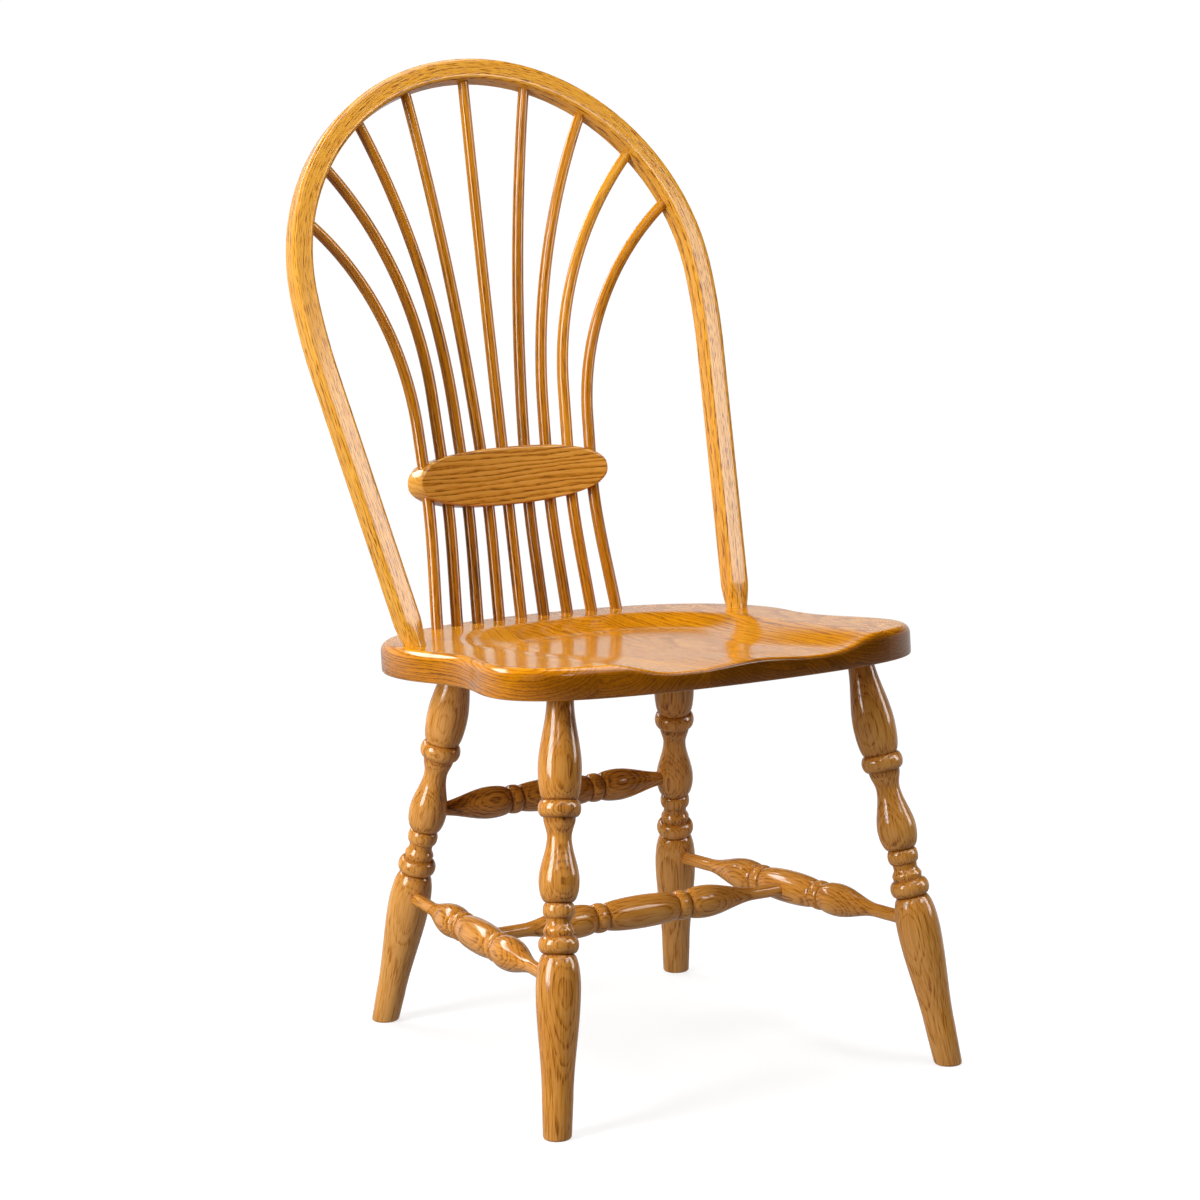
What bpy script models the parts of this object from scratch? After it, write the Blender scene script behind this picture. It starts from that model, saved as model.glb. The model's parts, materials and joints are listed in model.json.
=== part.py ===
"""Sheaf back windsor chair in oak: turned legs and stretchers, saddled seat, bent bow and spindles.

Metres, +Z up. The origin is on the floor under the middle of the chair, and the sitter faces -Y.
Left is -X. Every joint is a round end in a blind bore, and each bore is the entering piece's own
shape, grown by the clearance, so both follow the same sizes.
"""

from math import asin, atan2, copysign, cos, pi, radians, sin, sqrt, tan

import bmesh
import bpy
from mathutils import Matrix, Vector
from mathutils.geometry import interpolate_bezier

CLEARANCE = 0.0003  # gap round a seated end and past its tip

# Seat plank, sized in its own plane: +Y to the back, zero at the middle of its depth
SEAT_HEIGHT = 0.462  # top plane over the floor, at the plank's middle
SEAT_CENTRE_Y = -0.0472
SEAT_TILT = radians(4.44)  # front edge up
SEAT_THICKNESS = 0.033
SEAT_DEPTH = 0.549
SEAT_FRONT_WIDTH = 0.495  # across the front lobes
SEAT_FRONT_LOBE_SETBACK = 0.1215  # from the front edge
SEAT_WAIST_WIDTH = 0.454
SEAT_WAIST_Y = -0.028
SEAT_REAR_WIDTH = 0.475  # across the rear lobes, where the bow stands
SEAT_REAR_LOBE_SETBACK = 0.2015  # from the back edge
SEAT_CORNER_FULLNESS = 0.67  # 0.55 is an ellipse, more is squarer
SEAT_BACK_FULLNESS = 0.63
SEAT_WAIST_FULLNESS = 0.40
SEAT_EDGE_ROUND = 0.007  # top edge
SEAT_DIP_ROUND = 0.003  # top edge where the saddle runs out at the front
SEAT_EDGE_EASE = 0.003  # bottom edge

# Saddle: an oval dish, open at the front, with a low ridge between the thighs
DISH_DEPTH = 0.013
DISH_HALF_WIDTH = 0.172
DISH_CENTRE_Y = -0.033
DISH_BACK_REACH = 0.221
DISH_FRONT_REACH = 0.372
DISH_FULLNESS = 3.0  # 2 is an ellipse, more is squarer
DISH_WALL = 0.27  # share of the reach over which the wall falls, at the back and the front
DISH_SIDE_WALL = 0.60  # the same at the sides, which fall more gently
DISH_SIDE_Y = -0.090  # where they are gentlest
DISH_SIDE_LENGTH = 0.160  # from there to the steep walls
RIDGE_HEIGHT = 0.0045
RIDGE_HALF_WIDTH = 0.075
RIDGE_LENGTH = 0.190

# How the legs stand
FRONT_FOOT_X = 0.2424
FRONT_FOOT_SETBACK = 0.0126  # seen from above, behind the seat's front edge
FRONT_SPLAY = radians(7.55)  # sideways
FRONT_RAKE = radians(10.37)  # fore and aft
REAR_FOOT_X = 0.1927
REAR_FOOT_SETBACK = 0.0429  # seen from above, ahead of the seat's back edge
REAR_SPLAY = radians(7.34)
REAR_RAKE = radians(-13.03)
REAR_FOOT_TRIM = 0.0046  # the rear feet are cut shorter
LEG_SOCKET = 0.66  # depth, as a share of the plank's thickness

# Leg turning: heights along the axis from an untrimmed foot
FOOT_RADIUS = 0.0148
FOOT_EASE = 0.003
FOOT_SPARE = 0.010  # turned below the foot, and cut off level with the floor
ANKLE_RADIUS = 0.0162
ANKLE_HEIGHT = 0.040
CALF_RADIUS = 0.0233
CALF_HEIGHT = 0.1521
CALF_GROOVE_RADIUS = 0.0152
CALF_GROOVE_HEIGHT = 0.1881
LOWER_BEAD_RADIUS = 0.0212
LOWER_BEAD_TOP = 0.2066
SMALL_RING_RADIUS = 0.0162
SMALL_RING_HEIGHT = 0.2116
COVE_RADIUS = 0.0128
COVE_HEIGHT = 0.2196
UPPER_BEAD_RADIUS = 0.0167
UPPER_BEAD_FOOT = 0.2246
VASE_FOOT_RADIUS = 0.0133
VASE_FOOT_HEIGHT = 0.2406
VASE_RADIUS = 0.0212
VASE_HEIGHT = 0.2631
NECK_RADIUS = 0.0128
NECK_HEIGHT = 0.3081
FLARE_RADIUS = 0.0169
FLARE_HEIGHT = 0.3278
COLLAR_RADIUS = 0.0225
SHOULDER_RADIUS = 0.0172
SHOULDER_HEIGHT = 0.3462
THIGH_RADIUS = 0.0228
THIGH_HEIGHT = 0.3778
LEG_TOP_RADIUS = 0.0142
LEG_TOP_HEIGHT = 0.4491
LEG_DRAWN_LENGTH = 0.4758  # of a front leg, whose heights stretch with its real length

# Stretchers: one turning for all four, cut to length
SIDE_STRETCHER_RISE = 0.007  # over the widest of the calf
STRETCHER_END_DEPTH = 0.015  # into the piece that holds it
BARREL_RADIUS = 0.0184
BARREL_HALF_LENGTH = 0.0445
STRETCHER_GROOVE_RADIUS = 0.0134
STRETCHER_RING_RADIUS = 0.0166
STRETCHER_RING_WIDTH = 0.0155
BULB_RADIUS = 0.0182
BULB_OFFSET = 0.082  # from the middle
STRETCHER_END_RADIUS = 0.0074
STRETCHER_TAPER_END = 0.148  # from the middle

# Bow: square bar bent in one leaning plane
BOW_LEAN = radians(22.5)
BOW_FOOT_X = 0.2057
BOW_FOOT_SETBACK = 0.1692  # seen from above, ahead of the seat's back edge
BOW_RADIUS = 0.253  # middle of the bar, over the top
BOW_CENTRE_RISE = 0.403  # up the plane, from the seat to the middle of that arc
BOW_FLANK_RADIUS = 0.714
BOW_WIDTH = 0.0245  # in the plane
BOW_DEPTH = 0.0255  # across the plane
BOW_CORNER = 0.0040
BOW_END_RADIUS = 0.0118
BOW_END_TAPER = 0.028
BOW_END_SWELL = 0.65  # how square the bar is halfway down its taper
BOW_SOCKET = 0.60  # depth, as a share of the plank's thickness

# Oval block that gathers the spindles
BLOCK_RISE = 0.1597  # over the seat
BLOCK_SETBACK = 0.0309  # behind the spindles' feet
BLOCK_LEAN = radians(11.0)
BLOCK_CURVE = 0.560  # seen from above, hollow to the front
BLOCK_END = 0.0165  # wood past the middle of the outer spindles
BLOCK_HEIGHT = 0.066
BLOCK_THICKNESS = 0.027
BLOCK_FULLNESS = 2.4
BLOCK_EDGE_ROUND = 0.0025

# Spindles: places count from 0 in the middle to the outer one on each side
SPINDLE_RUNS = (0.060, 0.030, 0.076, 0.096, 0.060)  # straight up from the block's middle, by place
SPINDLE_RADIUS = 0.00635
SPINDLE_TIP_RADIUS = 0.0057
SPINDLE_SEAT_PITCH = 0.0291
SPINDLE_SEAT_SETBACK = 0.0328  # the middle one, ahead of the seat's back edge
SPINDLE_SEAT_CURVE = 0.430  # of the row, seen from above
SPINDLE_SOCKET = 0.52  # depth, as a share of the plank's thickness
SPINDLE_BLOCK_PITCH = 0.0270
SPINDLE_BOW_PITCH = radians(18.4)
SPINDLE_BOW_CLOSING = radians(0.26)  # taken off the pitch for each place from the middle
SPINDLE_BOW_SOCKET = 0.41  # depth, as a share of the bar's width
SPINDLE_TOE = radians(2.6)  # outward slant in the block

# Facets, round a piece and along it
LEG_SIDES = 12
STRETCHER_SIDES = 12
SEAT_FRONT_FACETS = 10  # each half
SEAT_WAIST_FACETS = 4  # each side of a waist
SEAT_BACK_FACETS = 12  # each half
SEAT_EDGE_FACETS = 3
SEAT_RINGS = (0.85, 0.78, 0.71, 0.64, 0.57, 0.50, 0.34, 0.17)  # shares of the way out from the middle
BOW_SIDES = 12
BOW_FLANK_FACETS = 3
BOW_TOP_FACETS = 13  # each half
BLOCK_FACETS = 18  # each half
SPINDLE_SIDES = 8
SPINDLE_FOOT_FACETS = 3
SPINDLE_BEND_FACETS = 11
SMOOTH_BELOW = radians(35)
MERGE = 1e-6

OAK_ROUGHNESS = 0.32
OAK = {
    "seat": (0.56, 0.27, 0.055),
    "bow": (0.52, 0.25, 0.060),
    "spindle": (0.44, 0.20, 0.040),
    "block": (0.47, 0.23, 0.065),
    "leg": (0.46, 0.22, 0.050),
    "stretcher": (0.40, 0.18, 0.045),
}

OUTER_PLACE = len(SPINDLE_RUNS) - 1
SEAT_FRONT_Y = SEAT_CENTRE_Y - SEAT_DEPTH / 2 * cos(SEAT_TILT)
SEAT_BACK_Y = SEAT_CENTRE_Y + SEAT_DEPTH / 2 * cos(SEAT_TILT)
FRONT_FOOT_Y = SEAT_FRONT_Y + FRONT_FOOT_SETBACK
REAR_FOOT_Y = SEAT_BACK_Y - REAR_FOOT_SETBACK
BOW_FOOT_Y = SEAT_BACK_Y - BOW_FOOT_SETBACK
SPINDLE_SEAT_Y = SEAT_BACK_Y - SPINDLE_SEAT_SETBACK
SEAT_PLACE = Matrix.Translation((0, SEAT_CENTRE_Y, SEAT_HEIGHT)) @ Matrix.Rotation(-SEAT_TILT, 4, "X")


def seat_top_at(y):
    """Height of the plank's top plane over a place on the floor."""
    return SEAT_HEIGHT - (y - SEAT_CENTRE_Y) * tan(SEAT_TILT)


BOW_FOOT = Vector((0, BOW_FOOT_Y, seat_top_at(BOW_FOOT_Y)))
BOW_PLACE = Matrix.Translation(BOW_FOOT) @ Matrix.Rotation(-BOW_LEAN, 4, "X")
BLOCK_CENTRE = Vector((0, SPINDLE_SEAT_Y + BLOCK_SETBACK, seat_top_at(SPINDLE_SEAT_Y) + BLOCK_RISE))
BLOCK_PLACE = Matrix.Translation(BLOCK_CENTRE) @ Matrix.Rotation(-BLOCK_LEAN, 4, "X")


# Scene and materials


def clear_scene():
    for obj in list(bpy.data.objects):
        bpy.data.objects.remove(obj, do_unlink=True)


def oak(kind):
    """Stained oak, one material for each kind of piece."""
    name = "oak_" + kind
    if name in bpy.data.materials:
        return bpy.data.materials[name]
    material = bpy.data.materials.new(name)
    material.use_nodes = True
    shader = material.node_tree.nodes["Principled BSDF"]
    shader.inputs["Base Color"].default_value = (*OAK[kind], 1.0)
    shader.inputs["Roughness"].default_value = OAK_ROUGHNESS
    shader.inputs["Metallic"].default_value = 0.0
    return material


def add_object(name, bm, place):
    bmesh.ops.recalc_face_normals(bm, faces=bm.faces)
    mesh = bpy.data.meshes.new(name)
    bm.to_mesh(mesh)
    bm.free()
    mesh.shade_smooth()
    mesh.set_sharp_from_angle(angle=SMOOTH_BELOW)
    obj = bpy.data.objects.new(name, mesh)
    obj.matrix_world = place
    bpy.context.scene.collection.objects.link(obj)
    return obj


def add_piece(name, kind, bm, place):
    obj = add_object(name, bm, place)
    obj.data.materials.append(oak(kind))
    return obj


def add_cutter(name, bm, place):
    obj = add_object(name + "_bore", bm, place)
    obj.hide_render = True
    obj.display_type = "WIRE"
    return obj


def bore(piece, cutters):
    """Bores the piece for the ends that enter it."""
    for cutter in cutters:
        cut = piece.modifiers.new(cutter.name, "BOOLEAN")
        cut.operation = "DIFFERENCE"
        cut.solver = "EXACT"
        cut.object = cutter


# Shared shapes


def ease(t):
    """Rises from 0 to 1 and is flat at both ends."""
    t = min(max(t, 0.0), 1.0)
    return t * t * (3 - 2 * t)


def skin(bm, rings):
    """Joins closed rings of equal count side by side, and returns their vertices."""
    loops = [[bm.verts.new(point) for point in ring] for ring in rings]
    for low, high in zip(loops, loops[1:]):
        for k in range(len(low)):
            bm.faces.new((low[k - 1], low[k], high[k], high[k - 1]))
    return loops


def capped_skin(rings):
    bm = bmesh.new()
    loops = skin(bm, rings)
    bm.faces.new(loops[0])
    bm.faces.new(loops[-1])
    return bm


def grown_radius(radius, sides, grow):
    """Radius that puts each facet of a round outside by the clearance."""
    return radius + grow / cos(pi / sides)


# Turned pieces

CURVES = {
    "line": lambda t: t,
    "rise": lambda t: sqrt(1 - (1 - t) ** 2),  # leaves steeply, arrives flat
    "fall": lambda t: 1 - sqrt(1 - t * t),  # leaves flat, arrives steeply
    "ogee": ease,
}


def turned_profile(start, cuts):
    """(position, radius) points from a start and cuts of (curve, position, radius, facets)."""
    points = [start]
    for curve, end, end_radius, facets in cuts:
        begin, begin_radius = points[-1]
        for k in range(1, facets + 1):
            share = CURVES[curve](k / facets)
            position = begin + (end - begin) * k / facets
            points.append((position, begin_radius + (end_radius - begin_radius) * share))
    return points


def bead(foot, top, radius, edge):
    """A half round that ends in a groove."""
    return [("rise", (foot + top) / 2, radius, 3), ("fall", top, edge, 3)]


def leg_profile(tip, stretch):
    """A leg's turning up to its tip, with the heights stretched to suit the seat's height."""
    cuts = [
        ("line", 0.0, FOOT_RADIUS, 1),
        ("line", ANKLE_HEIGHT, ANKLE_RADIUS, 1),
        ("ogee", CALF_HEIGHT, CALF_RADIUS, 4),
        ("fall", CALF_GROOVE_HEIGHT, CALF_GROOVE_RADIUS, 4),
        *bead(CALF_GROOVE_HEIGHT, LOWER_BEAD_TOP, LOWER_BEAD_RADIUS, CALF_GROOVE_RADIUS),
        ("line", SMALL_RING_HEIGHT, SMALL_RING_RADIUS, 1),
        ("ogee", COVE_HEIGHT, COVE_RADIUS, 2),
        ("line", UPPER_BEAD_FOOT, VASE_FOOT_RADIUS, 1),
        *bead(UPPER_BEAD_FOOT, VASE_FOOT_HEIGHT, UPPER_BEAD_RADIUS, VASE_FOOT_RADIUS),
        ("rise", VASE_HEIGHT, VASE_RADIUS, 3),
        ("ogee", NECK_HEIGHT, NECK_RADIUS, 4),
        ("ogee", FLARE_HEIGHT, FLARE_RADIUS, 2),
        *bead(FLARE_HEIGHT, SHOULDER_HEIGHT, COLLAR_RADIUS, SHOULDER_RADIUS),
        ("rise", THIGH_HEIGHT, THIGH_RADIUS, 3),
        ("ogee", LEG_TOP_HEIGHT, LEG_TOP_RADIUS, 4),
    ]
    cuts = [(curve, height * stretch, radius, facets) for curve, height, radius, facets in cuts]
    cuts.append(("line", tip, LEG_TOP_RADIUS, 1))
    return turned_profile((-FOOT_SPARE, FOOT_RADIUS), cuts)


def stretcher_profile(half_length):
    ring_end = BARREL_HALF_LENGTH + STRETCHER_RING_WIDTH
    cuts = [
        ("fall", BARREL_HALF_LENGTH, STRETCHER_GROOVE_RADIUS, 4),
        *bead(BARREL_HALF_LENGTH, ring_end, STRETCHER_RING_RADIUS, STRETCHER_GROOVE_RADIUS),
        ("rise", BULB_OFFSET, BULB_RADIUS, 3),
        ("ogee", min(STRETCHER_TAPER_END, half_length - STRETCHER_END_DEPTH / 2), STRETCHER_END_RADIUS, 4),
        ("line", half_length, STRETCHER_END_RADIUS, 1),
    ]
    half = turned_profile((0.0, BARREL_RADIUS), cuts)
    return [(-position, radius) for position, radius in half[:0:-1]] + half


def radius_at(profile, position):
    for (low, low_radius), (high, high_radius) in zip(profile, profile[1:]):
        if low <= position <= high:
            return low_radius + (high_radius - low_radius) * (position - low) / (high - low)
    raise ValueError("the turning has no such position")


def turn(profile, sides, grow=0.0):
    """Spins a profile round Z into a closed shape, grown past both of its ends too."""
    positions = [position for position, radius in profile]
    positions[0] -= grow
    positions[-1] += grow
    radii = [grown_radius(radius, sides, grow) for position, radius in profile]
    outline = [(0, positions[0]), *zip(radii, positions), (0, positions[-1])]
    bm = bmesh.new()
    verts = [bm.verts.new((radius, 0, position)) for radius, position in outline]
    edges = [bm.edges.new(pair) for pair in zip(verts, verts[1:])]
    bmesh.ops.spin(
        bm, geom=verts + edges, cent=(0, 0, 0), axis=(0, 0, 1), angle=2 * pi, steps=sides, use_merge=True
    )
    bmesh.ops.remove_doubles(bm, verts=bm.verts, dist=MERGE)
    return bm


def along(origin, direction):
    """Place of a turned piece whose Z axis runs along a direction in space."""
    return Matrix.Translation(origin) @ direction.to_track_quat("Z", "Y").to_matrix().to_4x4()


# Legs


def leg_place(side, foot_x, foot_y, splay, rake, trim):
    """Place of a leg's turning, whose zero lies under the floor by what the foot is trimmed."""
    up = Vector((-side * tan(splay), tan(rake), 1)).normalized()
    return along(Vector((side * foot_x, foot_y, 0)) - up * trim, up)


def leg_reach(place):
    """Length of a leg from its turning's zero to its tip in the seat."""
    seat_up = SEAT_PLACE.to_3x3() @ Vector((0, 0, 1))
    underside = SEAT_PLACE @ Vector((0, 0, -SEAT_THICKNESS))
    axis = place.to_3x3() @ Vector((0, 0, 1))
    entry = (underside - place.translation).dot(seat_up) / axis.dot(seat_up)
    return entry + SEAT_THICKNESS * LEG_SOCKET


def level_foot(bm, place):
    """Cuts the foot level with the floor and eases its edge."""
    to_leg = place.inverted()
    down = to_leg.to_3x3() @ Vector((0, 0, -1))
    geometry = bm.verts[:] + bm.edges[:] + bm.faces[:]
    cut = bmesh.ops.bisect_plane(
        bm, geom=geometry, plane_co=to_leg.translation, plane_no=down, clear_outer=True
    )
    rim = [item for item in cut["geom_cut"] if isinstance(item, bmesh.types.BMEdge)]
    bmesh.ops.edgeloop_fill(bm, edges=rim)
    bmesh.ops.bevel(bm, geom=rim, offset=FOOT_EASE, segments=1, affect="EDGES")


def make_leg(name, place, stretch):
    profile = leg_profile(leg_reach(place), stretch)
    bm = turn(profile, LEG_SIDES)
    level_foot(bm, place)
    piece = add_piece(name, "leg", bm, place)
    cutter = add_cutter(name, turn(profile, LEG_SIDES, CLEARANCE), place)
    return piece, cutter


# Stretchers


def make_stretcher(name, start, end, holder_radius):
    """A stretcher between the middles of two holders, each of the given radius there."""
    place = along((start + end) / 2, end - start)
    half_length = (end - start).length / 2 - holder_radius + STRETCHER_END_DEPTH
    profile = stretcher_profile(half_length)
    piece = add_piece(name, "stretcher", turn(profile, STRETCHER_SIDES), place)
    cutter = add_cutter(name, turn(profile, STRETCHER_SIDES, CLEARANCE), place)
    return piece, cutter


# Seat


def seat_outline():
    """The plank's edge, from the front middle round by the right and the back."""
    front = Vector((0, -SEAT_DEPTH / 2))
    lobe = Vector((SEAT_FRONT_WIDTH / 2, front.y + SEAT_FRONT_LOBE_SETBACK))
    waist = Vector((SEAT_WAIST_WIDTH / 2, SEAT_WAIST_Y))
    back = Vector((0, SEAT_DEPTH / 2))
    rear = Vector((SEAT_REAR_WIDTH / 2, back.y - SEAT_REAR_LOBE_SETBACK))
    across = Vector((1, 0))
    deep = Vector((0, 1))
    corner = SEAT_CORNER_FULLNESS
    round_back = SEAT_BACK_FULLNESS
    to_waist = deep * (waist.y - lobe.y) * SEAT_WAIST_FULLNESS
    from_waist = deep * (rear.y - waist.y) * SEAT_WAIST_FULLNESS
    spans = (
        (front, across * lobe.x * corner, deep * (lobe.y - front.y) * corner, lobe, SEAT_FRONT_FACETS),
        (lobe, to_waist, to_waist, waist, SEAT_WAIST_FACETS),
        (waist, from_waist, from_waist, rear, SEAT_WAIST_FACETS),
        (rear, deep * (back.y - rear.y) * round_back, -across * rear.x * round_back, back, SEAT_BACK_FACETS),
    )
    right = []
    for start, leave, arrive, end, facets in spans:
        right += interpolate_bezier(start, start + leave, end - arrive, end, facets + 1)[:-1]
    left = [Vector((-point.x, point.y)) for point in right[:0:-1]]
    return right + [back] + left


def seat_surface(x, y):
    """Height of the saddled top over the plank's top plane."""
    reach = DISH_BACK_REACH if y > DISH_CENTRE_Y else DISH_FRONT_REACH
    across = abs(x / DISH_HALF_WIDTH) ** DISH_FULLNESS
    deep = abs((y - DISH_CENTRE_Y) / reach) ** DISH_FULLNESS
    rim = (across + deep) ** (1 / DISH_FULLNESS)
    gentle = ease(1 - abs(y - DISH_SIDE_Y) / DISH_SIDE_LENGTH)
    wall = DISH_WALL + (DISH_SIDE_WALL - DISH_WALL) * gentle
    height = -DISH_DEPTH * ease((1 - rim) / wall)
    if abs(x) < RIDGE_HALF_WIDTH:
        crown = cos(pi / 2 * x / RIDGE_HALF_WIDTH) ** 2
        height += RIDGE_HEIGHT * crown * ease(1 - (y + SEAT_DEPTH / 2) / RIDGE_LENGTH)
    return height


def make_seat():
    outline = seat_outline()
    count = len(outline)
    outward = []
    for k in range(count):
        run = (outline[(k + 1) % count] - outline[k - 1]).normalized()
        outward.append(Vector((run.y, -run.x)))

    def inset(distances):
        return [point - normal * distance for point, normal, distance in zip(outline, outward, distances)]

    rings = [
        [(p.x, p.y, -SEAT_THICKNESS) for p in inset([SEAT_EDGE_EASE] * count)],
        [(p.x, p.y, SEAT_EDGE_EASE - SEAT_THICKNESS) for p in outline],
    ]
    dips = [-seat_surface(*point) / DISH_DEPTH for point in outline]
    rounds = [SEAT_EDGE_ROUND + (SEAT_DIP_ROUND - SEAT_EDGE_ROUND) * dip for dip in dips]
    shoulder = inset(rounds)
    for k in range(SEAT_EDGE_FACETS + 1):
        angle = pi / 2 * k / SEAT_EDGE_FACETS
        edge = inset([radius * (1 - cos(angle)) for radius in rounds])
        heights = [seat_surface(*q) - radius * (1 - sin(angle)) for q, radius in zip(shoulder, rounds)]
        rings.append([(p.x, p.y, height) for p, height in zip(edge, heights)])
    middle = Vector((0, DISH_CENTRE_Y))
    for share in SEAT_RINGS:
        inner = [middle.lerp(point, share) for point in shoulder]
        rings.append([(p.x, p.y, seat_surface(*p)) for p in inner])

    bm = bmesh.new()
    loops = skin(bm, rings)
    bm.faces.new(loops[0])
    centre = bm.verts.new((*middle, seat_surface(*middle)))
    for k in range(count):
        bm.faces.new((loops[-1][k - 1], loops[-1][k], centre))
    return add_piece("seat", "seat", bm, SEAT_PLACE)


# Bow


def bow_half_path():
    """Right half of the bow in its plane, as (point, outward, squareness), from its end to the top."""
    foot = Vector((BOW_FOOT_X, 0))
    flank_centre = Vector((BOW_RADIUS - BOW_FLANK_RADIUS, BOW_CENTRE_RISE))
    to_centre = flank_centre - foot
    slope = atan2(to_centre.y, to_centre.x) - asin(BOW_FLANK_RADIUS / to_centre.length)
    run = Vector((cos(slope), sin(slope)))
    outward = Vector((run.y, -run.x))
    straight = sqrt(to_centre.length_squared - BOW_FLANK_RADIUS ** 2)
    stations = [(-SEAT_THICKNESS * BOW_SOCKET, 0.0), (0.0, 0.0)]
    stations += [(BOW_END_TAPER / 2, BOW_END_SWELL), (BOW_END_TAPER, 1.0)]
    stations += [(straight / 2, 1.0), (straight, 1.0)]
    path = [(foot + run * distance, outward, square) for distance, square in stations]
    flank_start = atan2(outward.y, outward.x)
    top_centre = Vector((0, BOW_CENTRE_RISE))
    arcs = (
        (flank_centre, BOW_FLANK_RADIUS, flank_start, 0.0, BOW_FLANK_FACETS),
        (top_centre, BOW_RADIUS, 0.0, pi / 2, BOW_TOP_FACETS),
    )
    for centre, radius, begin, end, facets in arcs:
        for k in range(1, facets + 1):
            angle = begin + (end - begin) * k / facets
            outward = Vector((cos(angle), sin(angle)))
            path.append((centre + outward * radius, outward, 1.0))
    return path


def bow_section(square, grow):
    """Points across the bar, from a round at its ends to a square with rounded corners."""
    spread = 1 / (1 - 4 / BOW_SIDES)  # opens each quarter's points to the full round of a corner
    points = []
    for k in range(BOW_SIDES):
        angle = 2 * pi * (k + 0.5) / BOW_SIDES
        ring = Vector((cos(angle), sin(angle)))
        quarter = pi / 4 + pi / 2 * (4 * k // BOW_SIDES)
        corner = Vector((
            copysign(BOW_WIDTH / 2 - BOW_CORNER, cos(quarter)),
            copysign(BOW_DEPTH / 2 - BOW_CORNER, sin(quarter)),
        ))
        bend = quarter + (angle - quarter) * spread
        rounded = corner + (BOW_CORNER + grow) * Vector((cos(bend), sin(bend)))
        points.append((ring * grown_radius(BOW_END_RADIUS, BOW_SIDES, grow)).lerp(rounded, square))
    return points


def bow_shape(grow=0.0):
    right = bow_half_path()
    tip, outward, square = right[0]
    run = (right[1][0] - tip).normalized()
    right[0] = (tip - run * grow, outward, square)
    flip = Vector((-1, 1))
    left = [(point * flip, normal * flip, square) for point, normal, square in right[-2::-1]]
    rings = []
    for point, normal, square in right + left:
        ring = []
        for out, back in bow_section(square, grow):
            place = point + normal * out
            ring.append((place.x, back, place.y))
        rings.append(ring)
    return capped_skin(rings)


# Block


def bend_block(length, back, height):
    """A place in the flat block, taken round the curve it is bent to."""
    angle = length / BLOCK_CURVE
    radius = BLOCK_CURVE + back
    return Vector((radius * sin(angle), radius * cos(angle) - BLOCK_CURVE, height))


def block_outline(inset):
    """Right to left over the top and back underneath, with matching points above and below."""
    power = 2 / BLOCK_FULLNESS
    half_length = OUTER_PLACE * SPINDLE_BLOCK_PITCH + BLOCK_END
    points = []
    for k in range(2 * BLOCK_FACETS):
        angle = pi * k / BLOCK_FACETS
        across = copysign(abs(cos(angle)) ** power, cos(angle))
        up = copysign(abs(sin(angle)) ** power, sin(angle))
        points.append(((half_length - inset) * across, (BLOCK_HEIGHT / 2 - inset) * up))
    return points


def make_block():
    half = BLOCK_THICKNESS / 2
    layers = (
        (BLOCK_EDGE_ROUND, -half),
        (0.0, BLOCK_EDGE_ROUND - half),
        (0.0, half - BLOCK_EDGE_ROUND),
        (BLOCK_EDGE_ROUND, half),
    )
    rings = []
    for inset, back in layers:
        rings.append([bend_block(length, back, height) for length, height in block_outline(inset)])
    bm = bmesh.new()
    loops = skin(bm, rings)
    for loop in (loops[0], loops[-1]):
        for k in range(BLOCK_FACETS):
            corners = dict.fromkeys((loop[k], loop[k + 1], loop[-k - 1], loop[-k]))
            bm.faces.new(list(corners))
    return add_piece("sheaf_block", "block", bm, BLOCK_PLACE)


# Spindles


def spindle_path(place):
    """From the tip in the seat, through the block and round to the tip in the bow."""
    x = place * SPINDLE_SEAT_PITCH
    y = SPINDLE_SEAT_Y - SPINDLE_SEAT_CURVE + sqrt(SPINDLE_SEAT_CURVE ** 2 - x ** 2)
    foot = Vector((x, y, seat_top_at(y)))
    around = place * SPINDLE_BLOCK_PITCH
    turned = around / BLOCK_CURVE
    waist = BLOCK_PLACE @ bend_block(around, 0.0, 0.0)
    toe = copysign(SPINDLE_TOE, place) if place else 0.0
    up = BLOCK_PLACE.to_3x3() @ Vector((sin(toe) * cos(turned), -sin(toe) * sin(turned), cos(toe)))
    round_bow = place * (SPINDLE_BOW_PITCH - abs(place) * SPINDLE_BOW_CLOSING)
    reach = BOW_RADIUS - BOW_WIDTH * (0.5 - SPINDLE_BOW_SOCKET)
    top = BOW_PLACE @ Vector((reach * sin(round_bow), 0, BOW_CENTRE_RISE + reach * cos(round_bow)))

    rise = (waist - foot).normalized()
    tip = foot - rise * SEAT_THICKNESS * SPINDLE_SOCKET
    third = (waist - tip).length / 3
    path = interpolate_bezier(tip, tip + rise * third, waist - up * third, waist, SPINDLE_FOOT_FACETS + 1)

    start = waist + up * SPINDLE_RUNS[abs(place)]
    chord = top - start
    aside = chord - up * chord.dot(up)
    bend = 2 * atan2(aside.length, chord.dot(up))
    radius = chord.length_squared / (2 * aside.length)
    aside.normalize()
    for k in range(SPINDLE_BEND_FACETS + 1):
        angle = bend * k / SPINDLE_BEND_FACETS
        path.append(start + (up * sin(angle) + aside * (1 - cos(angle))) * radius)
    return path


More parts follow.
